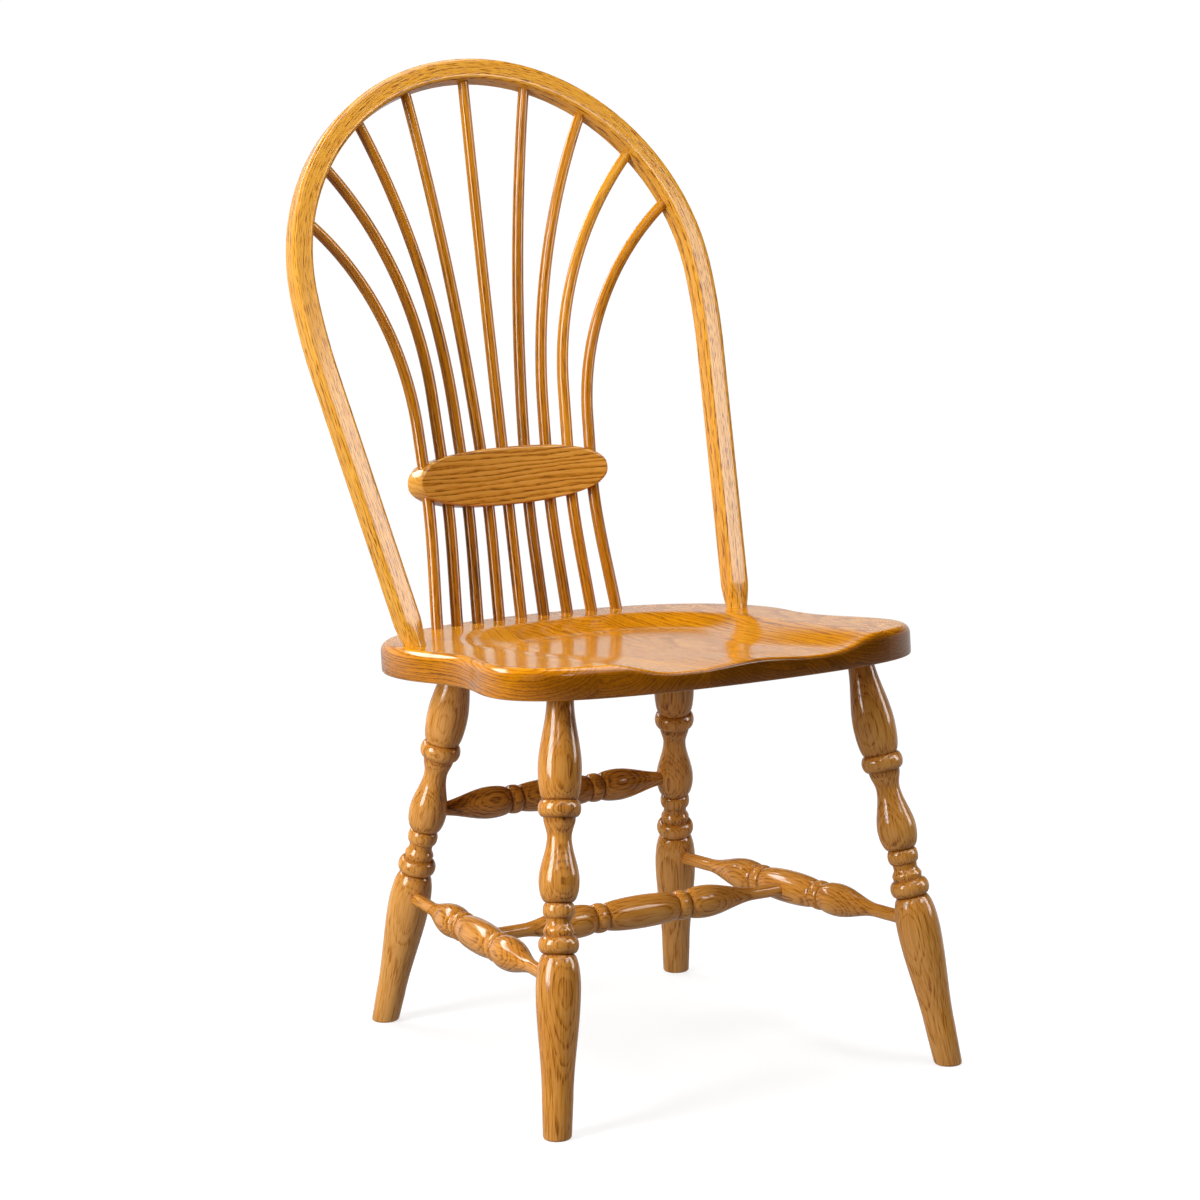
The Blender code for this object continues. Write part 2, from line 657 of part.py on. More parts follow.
def spindle_shape(place, grow=0.0):
    points = spindle_path(place)
    points[0] += (points[0] - points[1]).normalized() * grow
    points[-1] += (points[-1] - points[-2]).normalized() * grow
    last = len(points) - 1
    rings = []
    for k, point in enumerate(points):
        run = points[min(k + 1, last)] - points[max(k - 1, 0)]
        side = Vector((0, 1, 0)).cross(run).normalized()
        back = run.cross(side).normalized()
        slimming = (SPINDLE_RADIUS - SPINDLE_TIP_RADIUS) * max(k - last + SPINDLE_BEND_FACETS, 0)
        radius = grown_radius(SPINDLE_RADIUS - slimming / SPINDLE_BEND_FACETS, SPINDLE_SIDES, grow)
        ring = []
        for j in range(SPINDLE_SIDES):
            angle = 2 * pi * j / SPINDLE_SIDES
            ring.append(point + radius * (side * cos(angle) + back * sin(angle)))
        rings.append(ring)
    return capped_skin(rings)


# Assembly


def make_base():
    """Legs and stretchers, bored for each other. Returns the legs' cutters for the seat."""
    places = {}
    for side, name in ((-1, "left"), (1, "right")):
        places["front", name] = leg_place(side, FRONT_FOOT_X, FRONT_FOOT_Y, FRONT_SPLAY, FRONT_RAKE, 0.0)
        places["rear", name] = leg_place(
            side, REAR_FOOT_X, REAR_FOOT_Y, REAR_SPLAY, REAR_RAKE, REAR_FOOT_TRIM
        )
    tip = leg_reach(places["front", "left"])
    stretch = tip / LEG_DRAWN_LENGTH
    legs = {}
    leg_cutters = []
    for (end, name), place in places.items():
        legs[end, name], cutter = make_leg(f"leg_{end}_{name}", place, stretch)
        leg_cutters.append(cutter)

    def on_leg(end, name, height):
        return places[end, name] @ Vector((0, 0, height))

    low = (CALF_HEIGHT + SIDE_STRETCHER_RISE) * stretch
    calf_radius = radius_at(leg_profile(tip, stretch), low)
    sides = []
    middles = []
    vases = []
    for name in ("left", "right"):
        front = on_leg("front", name, low)
        rear = on_leg("rear", name, low)
        side, cutter = make_stretcher("side_stretcher_" + name, front, rear, calf_radius)
        bore(legs["front", name], [cutter])
        bore(legs["rear", name], [cutter])
        sides.append(side)
        middles.append((front + rear) / 2)
        vases.append(on_leg("rear", name, VASE_HEIGHT * stretch))

    centre_cutter = make_stretcher("centre_stretcher", *middles, BARREL_RADIUS)[1]
    rear_cutter = make_stretcher("rear_stretcher", *vases, VASE_RADIUS)[1]
    for side, name in zip(sides, ("left", "right")):
        bore(side, [centre_cutter])
        bore(legs["rear", name], [rear_cutter])
    return leg_cutters


def make_back():
    """Bow, block and spindles, bored for each other. Returns their cutters for the seat."""
    bow = add_piece("back_bow", "bow", bow_shape(), BOW_PLACE)
    bow_cutter = add_cutter("back_bow", bow_shape(CLEARANCE), BOW_PLACE)
    block = make_block()
    spindle_cutters = []
    for place in range(-OUTER_PLACE, OUTER_PLACE + 1):
        name = f"spindle_{place + OUTER_PLACE + 1}"
        add_piece(name, "spindle", spindle_shape(place), Matrix())
        spindle_cutters.append(add_cutter(name, spindle_shape(place, CLEARANCE), Matrix()))
    bore(block, spindle_cutters)
    bore(bow, spindle_cutters)
    return [bow_cutter, *spindle_cutters]


clear_scene()
bore(make_seat(), make_base() + make_back())
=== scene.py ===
"""Dresses the sheaf back windsor chair: finely turned, bent and carved oak, amber stain and lacquer.

Metres, +Z up, the sitter faces -Y. Every piece is shaped as a straight blank, takes its grain there, and
is then bent and set in its place, so that the growth rings follow the wood.
"""

import json
from math import asin, atan2, copysign, cos, pi, radians, sin, sqrt, tan, tau

import bmesh
import bpy
import numpy as np
from bpy.props import FloatProperty, FloatVectorProperty, PointerProperty
from mathutils import Matrix, Vector
from mathutils.geometry import interpolate_bezier

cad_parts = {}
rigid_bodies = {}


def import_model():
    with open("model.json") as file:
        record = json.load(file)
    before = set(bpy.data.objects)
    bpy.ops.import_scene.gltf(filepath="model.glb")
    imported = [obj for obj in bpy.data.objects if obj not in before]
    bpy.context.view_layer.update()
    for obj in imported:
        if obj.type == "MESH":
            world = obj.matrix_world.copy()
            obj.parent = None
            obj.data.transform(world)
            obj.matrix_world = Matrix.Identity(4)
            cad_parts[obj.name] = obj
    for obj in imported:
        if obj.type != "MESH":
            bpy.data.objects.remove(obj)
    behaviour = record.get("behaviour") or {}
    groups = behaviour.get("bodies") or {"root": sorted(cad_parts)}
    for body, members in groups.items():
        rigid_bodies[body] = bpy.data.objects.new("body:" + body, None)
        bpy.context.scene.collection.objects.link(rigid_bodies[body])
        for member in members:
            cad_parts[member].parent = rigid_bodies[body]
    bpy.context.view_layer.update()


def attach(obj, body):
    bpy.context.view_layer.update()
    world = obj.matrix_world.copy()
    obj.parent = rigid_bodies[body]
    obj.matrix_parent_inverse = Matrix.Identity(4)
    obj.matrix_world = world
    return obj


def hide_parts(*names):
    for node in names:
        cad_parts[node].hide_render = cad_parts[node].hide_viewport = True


bl_info = {
    "name": "Sheaf Back Windsor Chair",
    "version": (1, 0, 0),
    "blender": (4, 5, 0),
    "location": "View3D > Sidebar > Chair",
    "description": "Builds an oak windsor chair piece by piece, with its finish and studio",
    "category": "Add Mesh",
}

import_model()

SPINDLE_RUNS = (0.060, 0.030, 0.076, 0.096, 0.060)  # straight up from the block's middle, by place
OUTER_PLACE = len(SPINDLE_RUNS) - 1

# How finely the pieces are cut
MERGE = 1e-6  # points nearer than this are one
FACET = 0.0017  # length of a facet along a turned piece
TURNED_SIDES = 48  # facets round a leg or a stretcher
SPINDLE_SIDES = 24
SPINDLE_FACETS = 110  # along a spindle
EASED_EDGE = 4  # facets across the edge of a foot or the block
SEAT_EDGE = 6  # facets across the seat's edge
SADDLE_RINGS = 46
SADDLE_RIM = 1.4  # flat rim outside the saddle's rings, in radii of the top edge
BOW_CUTS = 220  # along the square of the bar
BOW_FLANK_STEPS = 12  # of its path along each straight flank
BAR_FACETS = 6  # on each flat and each corner of the bar
BOW_END_STEPS = 10  # from the square to the round end
BOW_END_CURVE = 1.5  # 1 draws the end straight from square to round, more begins gently
BLOCK_POINTS = 88  # round the oval
BLOCK_SPAN = 30  # of the grid on its faces
PATH_STEPS = 80  # of a bend in the block or a spindle
SEATED_STEPS = 40  # of a spindle between seat and block


def length(name, default, description):
    return FloatProperty(name=name, description=description, default=default, unit="LENGTH", precision=4)


def angle(name, degrees, description):
    return FloatProperty(name=name, description=description, default=radians(degrees), unit="ROTATION")


def share(name, default, description):
    return FloatProperty(name=name, description=description, default=default, subtype="FACTOR")


def stain(name, default, description):
    return FloatVectorProperty(
        name=name, description=description, default=default, subtype="COLOR", size=3, min=0.0, max=1.0
    )


class ChairSeat(bpy.types.PropertyGroup):
    """The saddled plank, in its own plane with +Y to the back and zero at the middle of its depth."""

    height: length("Height", 0.462, "Top plane over the floor, at the plank's middle")
    centre_y: length("Centre", -0.0472, "Middle of the plank, front to back")
    tilt: angle("Tilt", 4.44, "How much the front edge is raised")
    thickness: length("Thickness", 0.033, "Of the plank")
    depth: length("Depth", 0.549, "Front to back")
    front_width: length("Front width", 0.495, "Across the front lobes")
    front_lobe_setback: length("Front lobe setback", 0.1215, "Widest place, from the front edge")
    waist_width: length("Waist width", 0.454, "Between the lobes")
    waist_y: length("Waist place", -0.028, "From the plank's middle")
    rear_width: length("Rear width", 0.475, "Across the rear lobes")
    rear_lobe_setback: length("Rear lobe setback", 0.2015, "Widest place, from the back edge")
    corner_fullness: share("Corner fullness", 0.67, "0.55 is an ellipse, more is squarer")
    back_fullness: share("Back fullness", 0.63, "0.55 is an ellipse, more is squarer")
    waist_fullness: share("Waist fullness", 0.40, "How long the lobes run on into the waist")
    edge_round: length("Top edge", 0.010, "Radius of the top edge")
    dip_round: length("Dip edge", 0.003, "Radius of the top edge where the saddle runs out at the front")
    edge_ease: length("Bottom edge", 0.003, "Radius of the bottom edge")
    dish_depth: length("Dish depth", 0.013, "Of the saddle")
    dish_half_width: length("Dish half width", 0.172, "From the middle to the rim")
    dish_centre_y: length("Dish centre", -0.033, "From the plank's middle")
    dish_back_reach: length("Dish back reach", 0.221, "From its centre to the rim at the back")
    dish_front_reach: length("Dish front reach", 0.372, "Past the front edge, so the dish is open there")
    dish_fullness: share("Dish fullness", 3.0, "2 is an ellipse, more is squarer")
    dish_wall: share("Dish wall", 0.27, "Share of the reach in which it falls, at back and front")
    dish_side_wall: share("Dish side wall", 0.60, "The same at the sides, which fall more gently")
    dish_side_y: length("Dish side place", -0.090, "Where the sides are gentlest")
    dish_side_length: length("Dish side length", 0.160, "From there to the steep walls")
    ridge_height: length("Ridge height", 0.0045, "Between the thighs")
    ridge_half_width: length("Ridge half width", 0.075, "Of that ridge")
    ridge_length: length("Ridge length", 0.190, "From the front edge")


class ChairLegs(bpy.types.PropertyGroup):
    """How the legs stand, and their turning by height along the axis from an untrimmed foot."""

    front_x: length("Front foot aside", 0.2424, "From the middle")
    front_setback: length("Front foot setback", 0.0126, "Behind the seat's front edge, from above")
    front_splay: angle("Front splay", 7.55, "Sideways")
    front_rake: angle("Front rake", 10.37, "Fore and aft")
    rear_x: length("Rear foot aside", 0.1927, "From the middle")
    rear_setback: length("Rear foot setback", 0.0429, "Ahead of the seat's back edge, from above")
    rear_splay: angle("Rear splay", 7.34, "Sideways")
    rear_rake: angle("Rear rake", -13.03, "Fore and aft")
    rear_trim: length("Rear foot trim", 0.0046, "The rear feet are cut shorter")
    socket: share("Socket", 0.66, "Depth in the plank, as a share of its thickness")
    foot_radius: length("Foot radius", 0.0148, "At the floor")
    foot_ease: length("Foot edge", 0.003, "Radius of the foot's edge")
    ankle_radius: length("Ankle radius", 0.0162, "Where the foot begins to swell")
    ankle_height: length("Ankle height", 0.040, "Along the axis")
    calf_radius: length("Calf radius", 0.0233, "At its widest")
    calf_height: length("Calf height", 0.1521, "Of its widest")
    groove_radius: length("Groove radius", 0.0152, "Between calf and bead")
    groove_height: length("Groove height", 0.1881, "Along the axis")
    lower_bead_radius: length("Lower bead radius", 0.0212, "At its widest")
    lower_bead_top: length("Lower bead top", 0.2066, "Along the axis")
    ring_radius: length("Ring radius", 0.0162, "Small ring over the lower bead")
    ring_height: length("Ring height", 0.2116, "Along the axis")
    cove_radius: length("Cove radius", 0.0128, "Hollow over the ring")
    cove_height: length("Cove height", 0.2196, "Along the axis")
    upper_bead_radius: length("Upper bead radius", 0.0167, "At its widest")
    upper_bead_foot: length("Upper bead foot", 0.2246, "Along the axis")
    vase_foot_radius: length("Vase foot radius", 0.0133, "Groove under the vase")
    vase_foot_height: length("Vase foot height", 0.2406, "Along the axis")
    vase_radius: length("Vase radius", 0.0212, "At its widest")
    vase_height: length("Vase height", 0.2631, "Of its widest")
    neck_radius: length("Neck radius", 0.0128, "At its narrowest")
    neck_height: length("Neck height", 0.3081, "Of its narrowest")
    flare_radius: length("Flare radius", 0.0169, "Under the collar")
    flare_height: length("Flare height", 0.3278, "Along the axis")
    collar_radius: length("Collar radius", 0.0225, "At its widest")
    shoulder_radius: length("Shoulder radius", 0.0172, "Groove over the collar")
    shoulder_height: length("Shoulder height", 0.3462, "Along the axis")
    thigh_radius: length("Thigh radius", 0.0228, "At its widest")
    thigh_height: length("Thigh height", 0.3778, "Of its widest")
    top_radius: length("Top radius", 0.0142, "Where the leg enters the seat")
    top_height: length("Top height", 0.4491, "Where the taper ends")
    drawn_length: length("Drawn length", 0.4758, "Of a front leg, whose heights stretch with its length")


class ChairStretchers(bpy.types.PropertyGroup):
    """One turning for all four stretchers, cut to length, by distance from the middle."""

    rise: length("Side rise", 0.007, "Side stretchers over the widest of the calf")
    end_depth: length("End depth", 0.015, "Into the piece that holds it")
    barrel_radius: length("Barrel radius", 0.0184, "At the middle")
    barrel_half: length("Barrel half length", 0.0445, "From the middle to its groove")
    groove_radius: length("Groove radius", 0.0134, "On both sides of a ring")
    ring_radius: length("Ring radius", 0.0166, "At its widest")
    ring_width: length("Ring width", 0.0155, "From groove to groove")
    bulb_radius: length("Bulb radius", 0.0182, "At its widest")
    bulb_offset: length("Bulb offset", 0.082, "From the middle")
    end_radius: length("End radius", 0.0074, "Of the plain end")
    taper_end: length("Taper end", 0.148, "From the middle")


class ChairBow(bpy.types.PropertyGroup):
    """The hoop: a square bar bent in one leaning plane."""

    lean: angle("Lean", 22.5, "Backwards")
    foot_x: length("Foot aside", 0.2057, "From the middle")
    foot_setback: length("Foot setback", 0.1692, "Ahead of the seat's back edge, from above")
    radius: length("Top radius", 0.253, "Middle of the bar, over the top")
    centre_rise: length("Centre rise", 0.403, "Up the plane, from the seat to the middle of that arc")
    flank_radius: length("Flank radius", 0.714, "Of the gentle bend below the top arc")
    width: length("Width", 0.0245, "Of the bar, in the plane")
    depth: length("Depth", 0.0255, "Of the bar, across the plane")
    corner: length("Corner", 0.0040, "Radius of the bar's corners")
    end_radius: length("End radius", 0.0118, "Of the round ends")
    end_taper: length("End taper", 0.028, "Over the seat, from round to square")
    socket: share("Socket", 0.60, "Depth in the plank, as a share of its thickness")


class ChairBlock(bpy.types.PropertyGroup):
    """The oval block that gathers the spindles."""

    rise: length("Rise", 0.1597, "Over the seat")
    setback: length("Setback", 0.0309, "Behind the spindles' feet")
    lean: angle("Lean", 11.0, "Backwards")
    curve: length("Curve", 0.560, "Radius seen from above, hollow to the front")
    end: length("End", 0.0165, "Wood past the middle of the outer spindles")
    height: length("Height", 0.066, "Of the oval")
    thickness: length("Thickness", 0.027, "Front to back")
    fullness: share("Fullness", 2.4, "2 is an ellipse, more is squarer")
    edge_round: length("Edge", 0.0025, "Radius of its edges")


class ChairSpindles(bpy.types.PropertyGroup):
    """Spindles, whose places count from 0 in the middle to the outer one on each side."""

    radius: length("Radius", 0.0068, "From the seat to past the block")
    tip_radius: length("Tip radius", 0.0062, "At the bow")
    seat_pitch: length("Seat pitch", 0.0291, "From place to place in the seat")
    seat_setback: length("Seat setback", 0.0328, "The middle one, ahead of the seat's back edge")
    seat_curve: length("Seat curve", 0.430, "Radius of the row, seen from above")
    socket: share("Seat socket", 0.52, "Depth in the plank, as a share of its thickness")
    block_pitch: length("Block pitch", 0.0270, "From place to place in the block")
    bow_pitch: angle("Bow pitch", 18.4, "From place to place round the bow")
    bow_closing: angle("Bow closing", 0.26, "Taken off the pitch for each place from the middle")
    bow_socket: share("Bow socket", 0.41, "Depth in the bow, as a share of the bar's width")
    toe: angle("Toe", 2.6, "Outward slant in the block")


class ChairFinish(bpy.types.PropertyGroup):
    """Stain and lacquer, from pale late wood to dark pores."""

    honey: stain("Honey", (0.68, 0.325, 0.036), "Pale late wood")
    amber: stain("Amber", (0.53, 0.205, 0.012), "Most of the wood")
    umber: stain("Umber", (0.28, 0.095, 0.006), "Early wood and end grain")
    pore: stain("Pore", (0.11, 0.036, 0.004), "Stain that gathers in pores")
    gloss: share("Lacquer roughness", 0.11, "Of the lacquer between the pores")


class ChairStage(bpy.types.PropertyGroup):
    """Camera, floor and lights."""

    camera_x: length("Camera X", -2.0755, "Place of the camera")
    camera_y: length("Camera Y", -3.6492, "Place of the camera")
    camera_z: length("Camera Z", 1.2137, "Place of the camera")
    azimuth: angle("Azimuth", -29.56, "Direction of view, from straight at the chair's front")
    dip: angle("Dip", 9.77, "Of the view, below the horizon")
    roll: angle("Roll", -1.06, "Of the camera")
    lens: FloatProperty(name="Lens", description="Focal length", default=116.25, unit="CAMERA")
    floor: stain("Floor", (0.36, 0.36, 0.36), "Paint of the floor, which also glows")


SIZES = {
    "seat": ChairSeat,
    "legs": ChairLegs,
    "stretchers": ChairStretchers,
    "bow": ChairBow,
    "block": ChairBlock,
    "spindles": ChairSpindles,
    "finish": ChairFinish,
    "stage": ChairStage,
}


def sizes(group):
    """The properties of one part of the chair."""
    return getattr(bpy.context.scene, "chair_" + group)


# Where things stand


def seat_place():
    seat = sizes("seat")
    return Matrix.Translation((0, seat.centre_y, seat.height)) @ Matrix.Rotation(-seat.tilt, 4, "X")


def seat_end(side):
    """Place on the floor plan of the seat's front edge (-1) or back edge (1)."""
    seat = sizes("seat")
    return seat.centre_y + side * seat.depth / 2 * cos(seat.tilt)


def seat_top_at(y):
    """Height of the plank's top plane over a place on the floor."""
    seat = sizes("seat")
    return seat.height - (y - seat.centre_y) * tan(seat.tilt)


def bow_place():
    bow = sizes("bow")
    y = seat_end(1) - bow.foot_setback
    return Matrix.Translation((0, y, seat_top_at(y))) @ Matrix.Rotation(-bow.lean, 4, "X")


def block_place():
    block = sizes("block")
    y = seat_end(1) - sizes("spindles").seat_setback
    centre = Vector((0, y + block.setback, seat_top_at(y) + block.rise))
    return Matrix.Translation(centre) @ Matrix.Rotation(-block.lean, 4, "X")


def along(origin, direction):
    """Place of a turned piece whose Z axis runs along a direction in space."""
    return Matrix.Translation(origin) @ direction.to_track_quat("Z", "Y").to_matrix().to_4x4()


# Bench work


def set_mode(mode):
    if not bpy.context.mode.startswith(mode):
        bpy.ops.object.mode_set(mode=mode)


def rename(thing, name):
    thing.name = name
    thing.data.name = name


def begin(name, primitive, **settings):
    """Starts a piece from a primitive, in edit mode with all of it selected."""
    set_mode("OBJECT")
    bpy.ops.object.select_all(action="DESELECT")
    primitive(**settings)
    piece = bpy.context.object
    rename(piece, name)
    set_mode("EDIT")
    bpy.ops.mesh.select_mode(type="VERT")
    select_whole()
    return piece


def begin_outline(name, outline, fill):
    """Starts a piece from a circle whose points go to the places of an outline."""
    circle = bpy.ops.mesh.primitive_circle_add
    piece = begin(name, circle, vertices=len(outline), fill_type=fill)
    bm = bmesh.from_edit_mesh(piece.data)
    for vert, place in zip(bm.verts, outline):
        vert.co = place
    bmesh.update_edit_mesh(piece.data)
    return piece


def select_whole():
    bpy.ops.mesh.select_all(action="SELECT")


def extrude(x, y, z):
    """Draws what is selected out, in edit mode."""
    bpy.ops.mesh.extrude_region_move(TRANSFORM_OT_translate={"value": (x, y, z)})


def close_shape():
    """Merges doubles and turns all faces outwards, in edit mode."""
    select_whole()
    bpy.ops.mesh.remove_doubles(threshold=MERGE)
    bpy.ops.mesh.normals_make_consistent(inside=False)


def take_up(piece):
    """Makes the piece the only selected one, in object mode."""
    set_mode("OBJECT")
    bpy.ops.object.select_all(action="DESELECT")
    piece.select_set(True)
    bpy.context.view_layer.objects.active = piece


def select_edges(piece, wanted):
    """Selects the edges that a test picks, in edit mode."""
    bpy.ops.mesh.select_mode(type="EDGE")
    bpy.ops.mesh.select_all(action="DESELECT")
    bm = bmesh.from_edit_mesh(piece.data)
    found = 0
    for edge in bm.edges:
        if wanted(edge):
            edge.select = True
            found += 1
    bm.select_flush_mode()
    bmesh.update_edit_mesh(piece.data)
    if not found:
        raise RuntimeError(piece.name + ": no edge to work on")


def is_rim(edge, least=radians(50)):
    return len(edge.link_faces) == 2 and edge.calc_face_angle() > least


def set_in_place(piece, place):
    """Moves a finished blank to its place in the chair, and puts that place in its mesh."""
    take_up(piece)
    piece.matrix_world = place
    bpy.ops.object.transform_apply(location=True, rotation=True, scale=True)


def copy_of(piece, name):
    take_up(piece)
    bpy.ops.object.duplicate(linked=False)
    rename(bpy.context.object, name)
    return bpy.context.object


def steam_bend(piece, path, flat, axis):
    """Bends a straight piece along a path, from the piece's zero at the path's first point."""
    curve = bpy.data.curves.new("bending_form", "CURVE")
    curve.dimensions = "2D" if flat else "3D"
    curve.twist_mode = "MINIMUM"
    spline = curve.splines.new("POLY")
    spline.points.add(len(path) - 1)
    for point, place in zip(spline.points, path):
        point.co = (*Vector(place).to_3d(), 1.0)
    form = bpy.data.objects.new("bending_form", curve)
    bpy.context.scene.collection.objects.link(form)
    take_up(piece)
    bend = piece.modifiers.new("bend", "CURVE")
    bend.object = form
    bend.deform_axis = axis
    bpy.ops.object.modifier_apply(modifier=bend.name)
    bpy.data.objects.remove(form, do_unlink=True)
    bpy.data.curves.remove(curve)


def path_length(path):
    return sum((b - a).length for a, b in zip(path, path[1:]))


def lay_grain(piece, to_blank, pith, tone, hollows=None):
    """Keeps where each point lies in the log, how dark the stain is there with any painted light or
    shade added, and how much end grain shows.

    The blank's Z runs along the grain, and the pith is where the log's middle passes the blank's zero.
    """
    mesh = piece.data
    count = len(mesh.vertices)
    places = np.empty(count * 3)
    mesh.vertices.foreach_get("co", places)
    normals = np.empty(count * 3, np.float32)
    mesh.vertex_normals.foreach_get("vector", normals)
    turned = np.array(to_blank.to_3x3())
    blank = places.reshape(-1, 3) @ turned.T + np.array(to_blank.translation)
    ends = np.abs(normals.reshape(-1, 3) @ turned.T)[:, 2]
    tones = np.full(count, 1.0) * tone
    if hollows:
        tones += np.interp(blank[:, 2], *hollows)
    log = blank - np.array((pith[0], pith[1], 0.0))
    for name, kind, field, values in (
        ("log", "FLOAT_VECTOR", "vector", log),
        ("tone", "FLOAT", "value", tones),
        ("end_grain", "FLOAT", "value", ends),
    ):
        layer = mesh.attributes.new(name, kind, "POINT")
        layer.data.foreach_set(field, values.astype(np.float32).ravel())


def finish_piece(piece, slot, *nodes):
    """Smooths a piece, gives it its oak, and lets it stand for its nodes of the frame."""
    take_up(piece)
    bpy.ops.object.shade_smooth_by_angle(angle=radians(40))
    piece.data.materials.clear()
    piece.data.materials.append(oak(slot))
    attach(piece, "root")
    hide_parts(*nodes)


# Turning


def ease(t):
    """Rises from 0 to 1 and is flat at both ends."""
    t = min(max(t, 0.0), 1.0)
    return t * t * (3 - 2 * t)


CURVES = {
    "line": lambda t: t,
    "rise": lambda t: sqrt(max(0.0, 1 - (1 - t) ** 2)),  # leaves steeply, arrives flat
    "fall": lambda t: 1 - sqrt(max(0.0, 1 - t * t)),  # leaves flat, arrives steeply
    "ogee": ease,
}


def turned_profile(start, cuts):
    """(position, radius) points from a start and cuts of (curve, position, radius)."""
    points = [start]
    for curve, end, end_radius in cuts:
        begin_at, begin_radius = points[-1]
        facets = 1 if curve == "line" else max(1, round(abs(end - begin_at) / FACET))
        for k in range(1, facets + 1):
            t = k / facets
            if curve == "rise":
                t = 1 - cos(pi / 2 * t)
            elif curve == "fall":
                t = sin(pi / 2 * t)
            radius = begin_radius + (end_radius - begin_radius) * CURVES[curve](t)
            points.append((begin_at + (end - begin_at) * t, radius))
    return points


def bead(foot, top, radius, edge):
    """A half round that ends in a groove."""
    return [("rise", (foot + top) / 2, radius), ("fall", top, edge)]


def hollows_of(profile, reach=0.006, full=0.0045, darkest=0.30):
    """Darkening in the hollows of a turned profile, as (positions, darkening)."""
    positions = np.array([position for position, radius in profile])
    radii = np.array([radius for position, radius in profile])
    shoulders = np.maximum(
        np.interp(positions - reach, positions, radii), np.interp(positions + reach, positions, radii)
    )
    return positions, darkest * np.clip((shoulders - radii) / full, 0.0, 1.0)


def lathe(name, profile, sides):
    """A piece turned round Z from (position, radius) points: one edge, spun all the way round."""
    piece = begin(name, bpy.ops.mesh.primitive_plane_add, size=FACET)
    bpy.ops.mesh.merge(type="CENTER")
    outline = [(profile[0][0], 0.0), *profile, (profile[-1][0], 0.0)]
    bpy.ops.transform.translate(value=(0, 0, outline[0][0]))
    for (low, inner), (high, outer) in zip(outline, outline[1:]):
        step = (outer - inner, 0, high - low)
        bpy.ops.mesh.extrude_vertices_move(TRANSFORM_OT_translate={"value": step})
    select_whole()
    bpy.ops.mesh.spin(steps=sides, angle=tau, center=(0, 0, 0), axis=(0, 0, 1))
    close_shape()
    set_mode("OBJECT")
    return piece


# Legs

FOOT_WASTE = 0.25  # turned below the foot and sawn off, as a share of the ankle's height
LEG_PITHS = ((0.014, -0.024), (-0.024, 0.004), (0.022, 0.013), (0.010, 0.022))
LEG_TONES = (0.0, -0.08, -0.16, -0.06)


def leg_place(side, end):
    """Place of a leg's turning, whose zero lies under the floor by what the foot is trimmed."""
    legs = sizes("legs")
    if end == "front":
        foot = Vector((side * legs.front_x, seat_end(-1) + legs.front_setback, 0))
        splay, rake, trim = legs.front_splay, legs.front_rake, 0.0
    else:
        foot = Vector((side * legs.rear_x, seat_end(1) - legs.rear_setback, 0))
        splay, rake, trim = legs.rear_splay, legs.rear_rake, legs.rear_trim
    up = Vector((-side * tan(splay), tan(rake), 1)).normalized()
    return along(foot - up * trim, up)


def leg_reach(place):
    """Length of a leg from its turning's zero to its tip in the seat."""
    seat = sizes("seat")
    seat_up = seat_place().to_3x3() @ Vector((0, 0, 1))
    underside = seat_place() @ Vector((0, 0, -seat.thickness))
    axis = place.to_3x3() @ Vector((0, 0, 1))
    entry = (underside - place.translation).dot(seat_up) / axis.dot(seat_up)
    return entry + seat.thickness * sizes("legs").socket


def leg_stretch():
    return leg_reach(leg_place(-1, "front")) / sizes("legs").drawn_length


def leg_profile(tip):
    """The turning of a leg, from the waste below its foot to its tip."""
    legs = sizes("legs")
    groove = legs.groove_height
    foot, foot_radius = legs.upper_bead_foot, legs.vase_foot_radius
    cuts = [
        ("line", legs.ankle_height, legs.ankle_radius),
        ("ogee", legs.calf_height, legs.calf_radius),
        ("fall", groove, legs.groove_radius),
        *bead(groove, legs.lower_bead_top, legs.lower_bead_radius, legs.groove_radius),
        ("line", legs.ring_height, legs.ring_radius),
        ("ogee", legs.cove_height, legs.cove_radius),
        ("line", foot, foot_radius),
        *bead(foot, legs.vase_foot_height, legs.upper_bead_radius, foot_radius),
        ("rise", legs.vase_height, legs.vase_radius),
        ("ogee", legs.neck_height, legs.neck_radius),
        ("ogee", legs.flare_height, legs.flare_radius),
        *bead(legs.flare_height, legs.shoulder_height, legs.collar_radius, legs.shoulder_radius),
        ("rise", legs.thigh_height, legs.thigh_radius),
        ("ogee", legs.top_height, legs.top_radius),
    ]
    stretch = leg_stretch()
    cuts = [(curve, height * stretch, radius) for curve, height, radius in cuts]
    cuts.append(("line", tip, legs.top_radius))
    waste = FOOT_WASTE * legs.ankle_height
    waste_radius = legs.foot_radius - FOOT_WASTE * (legs.ankle_radius - legs.foot_radius)
    return turned_profile((-waste, waste_radius), cuts)


def cut_off(point, outward):
    """Saws the piece in hand through and caps it, in edit mode."""
    set_mode("EDIT")
    select_whole()
    bpy.ops.mesh.bisect(plane_co=point, plane_no=outward, use_fill=True, clear_outer=True)


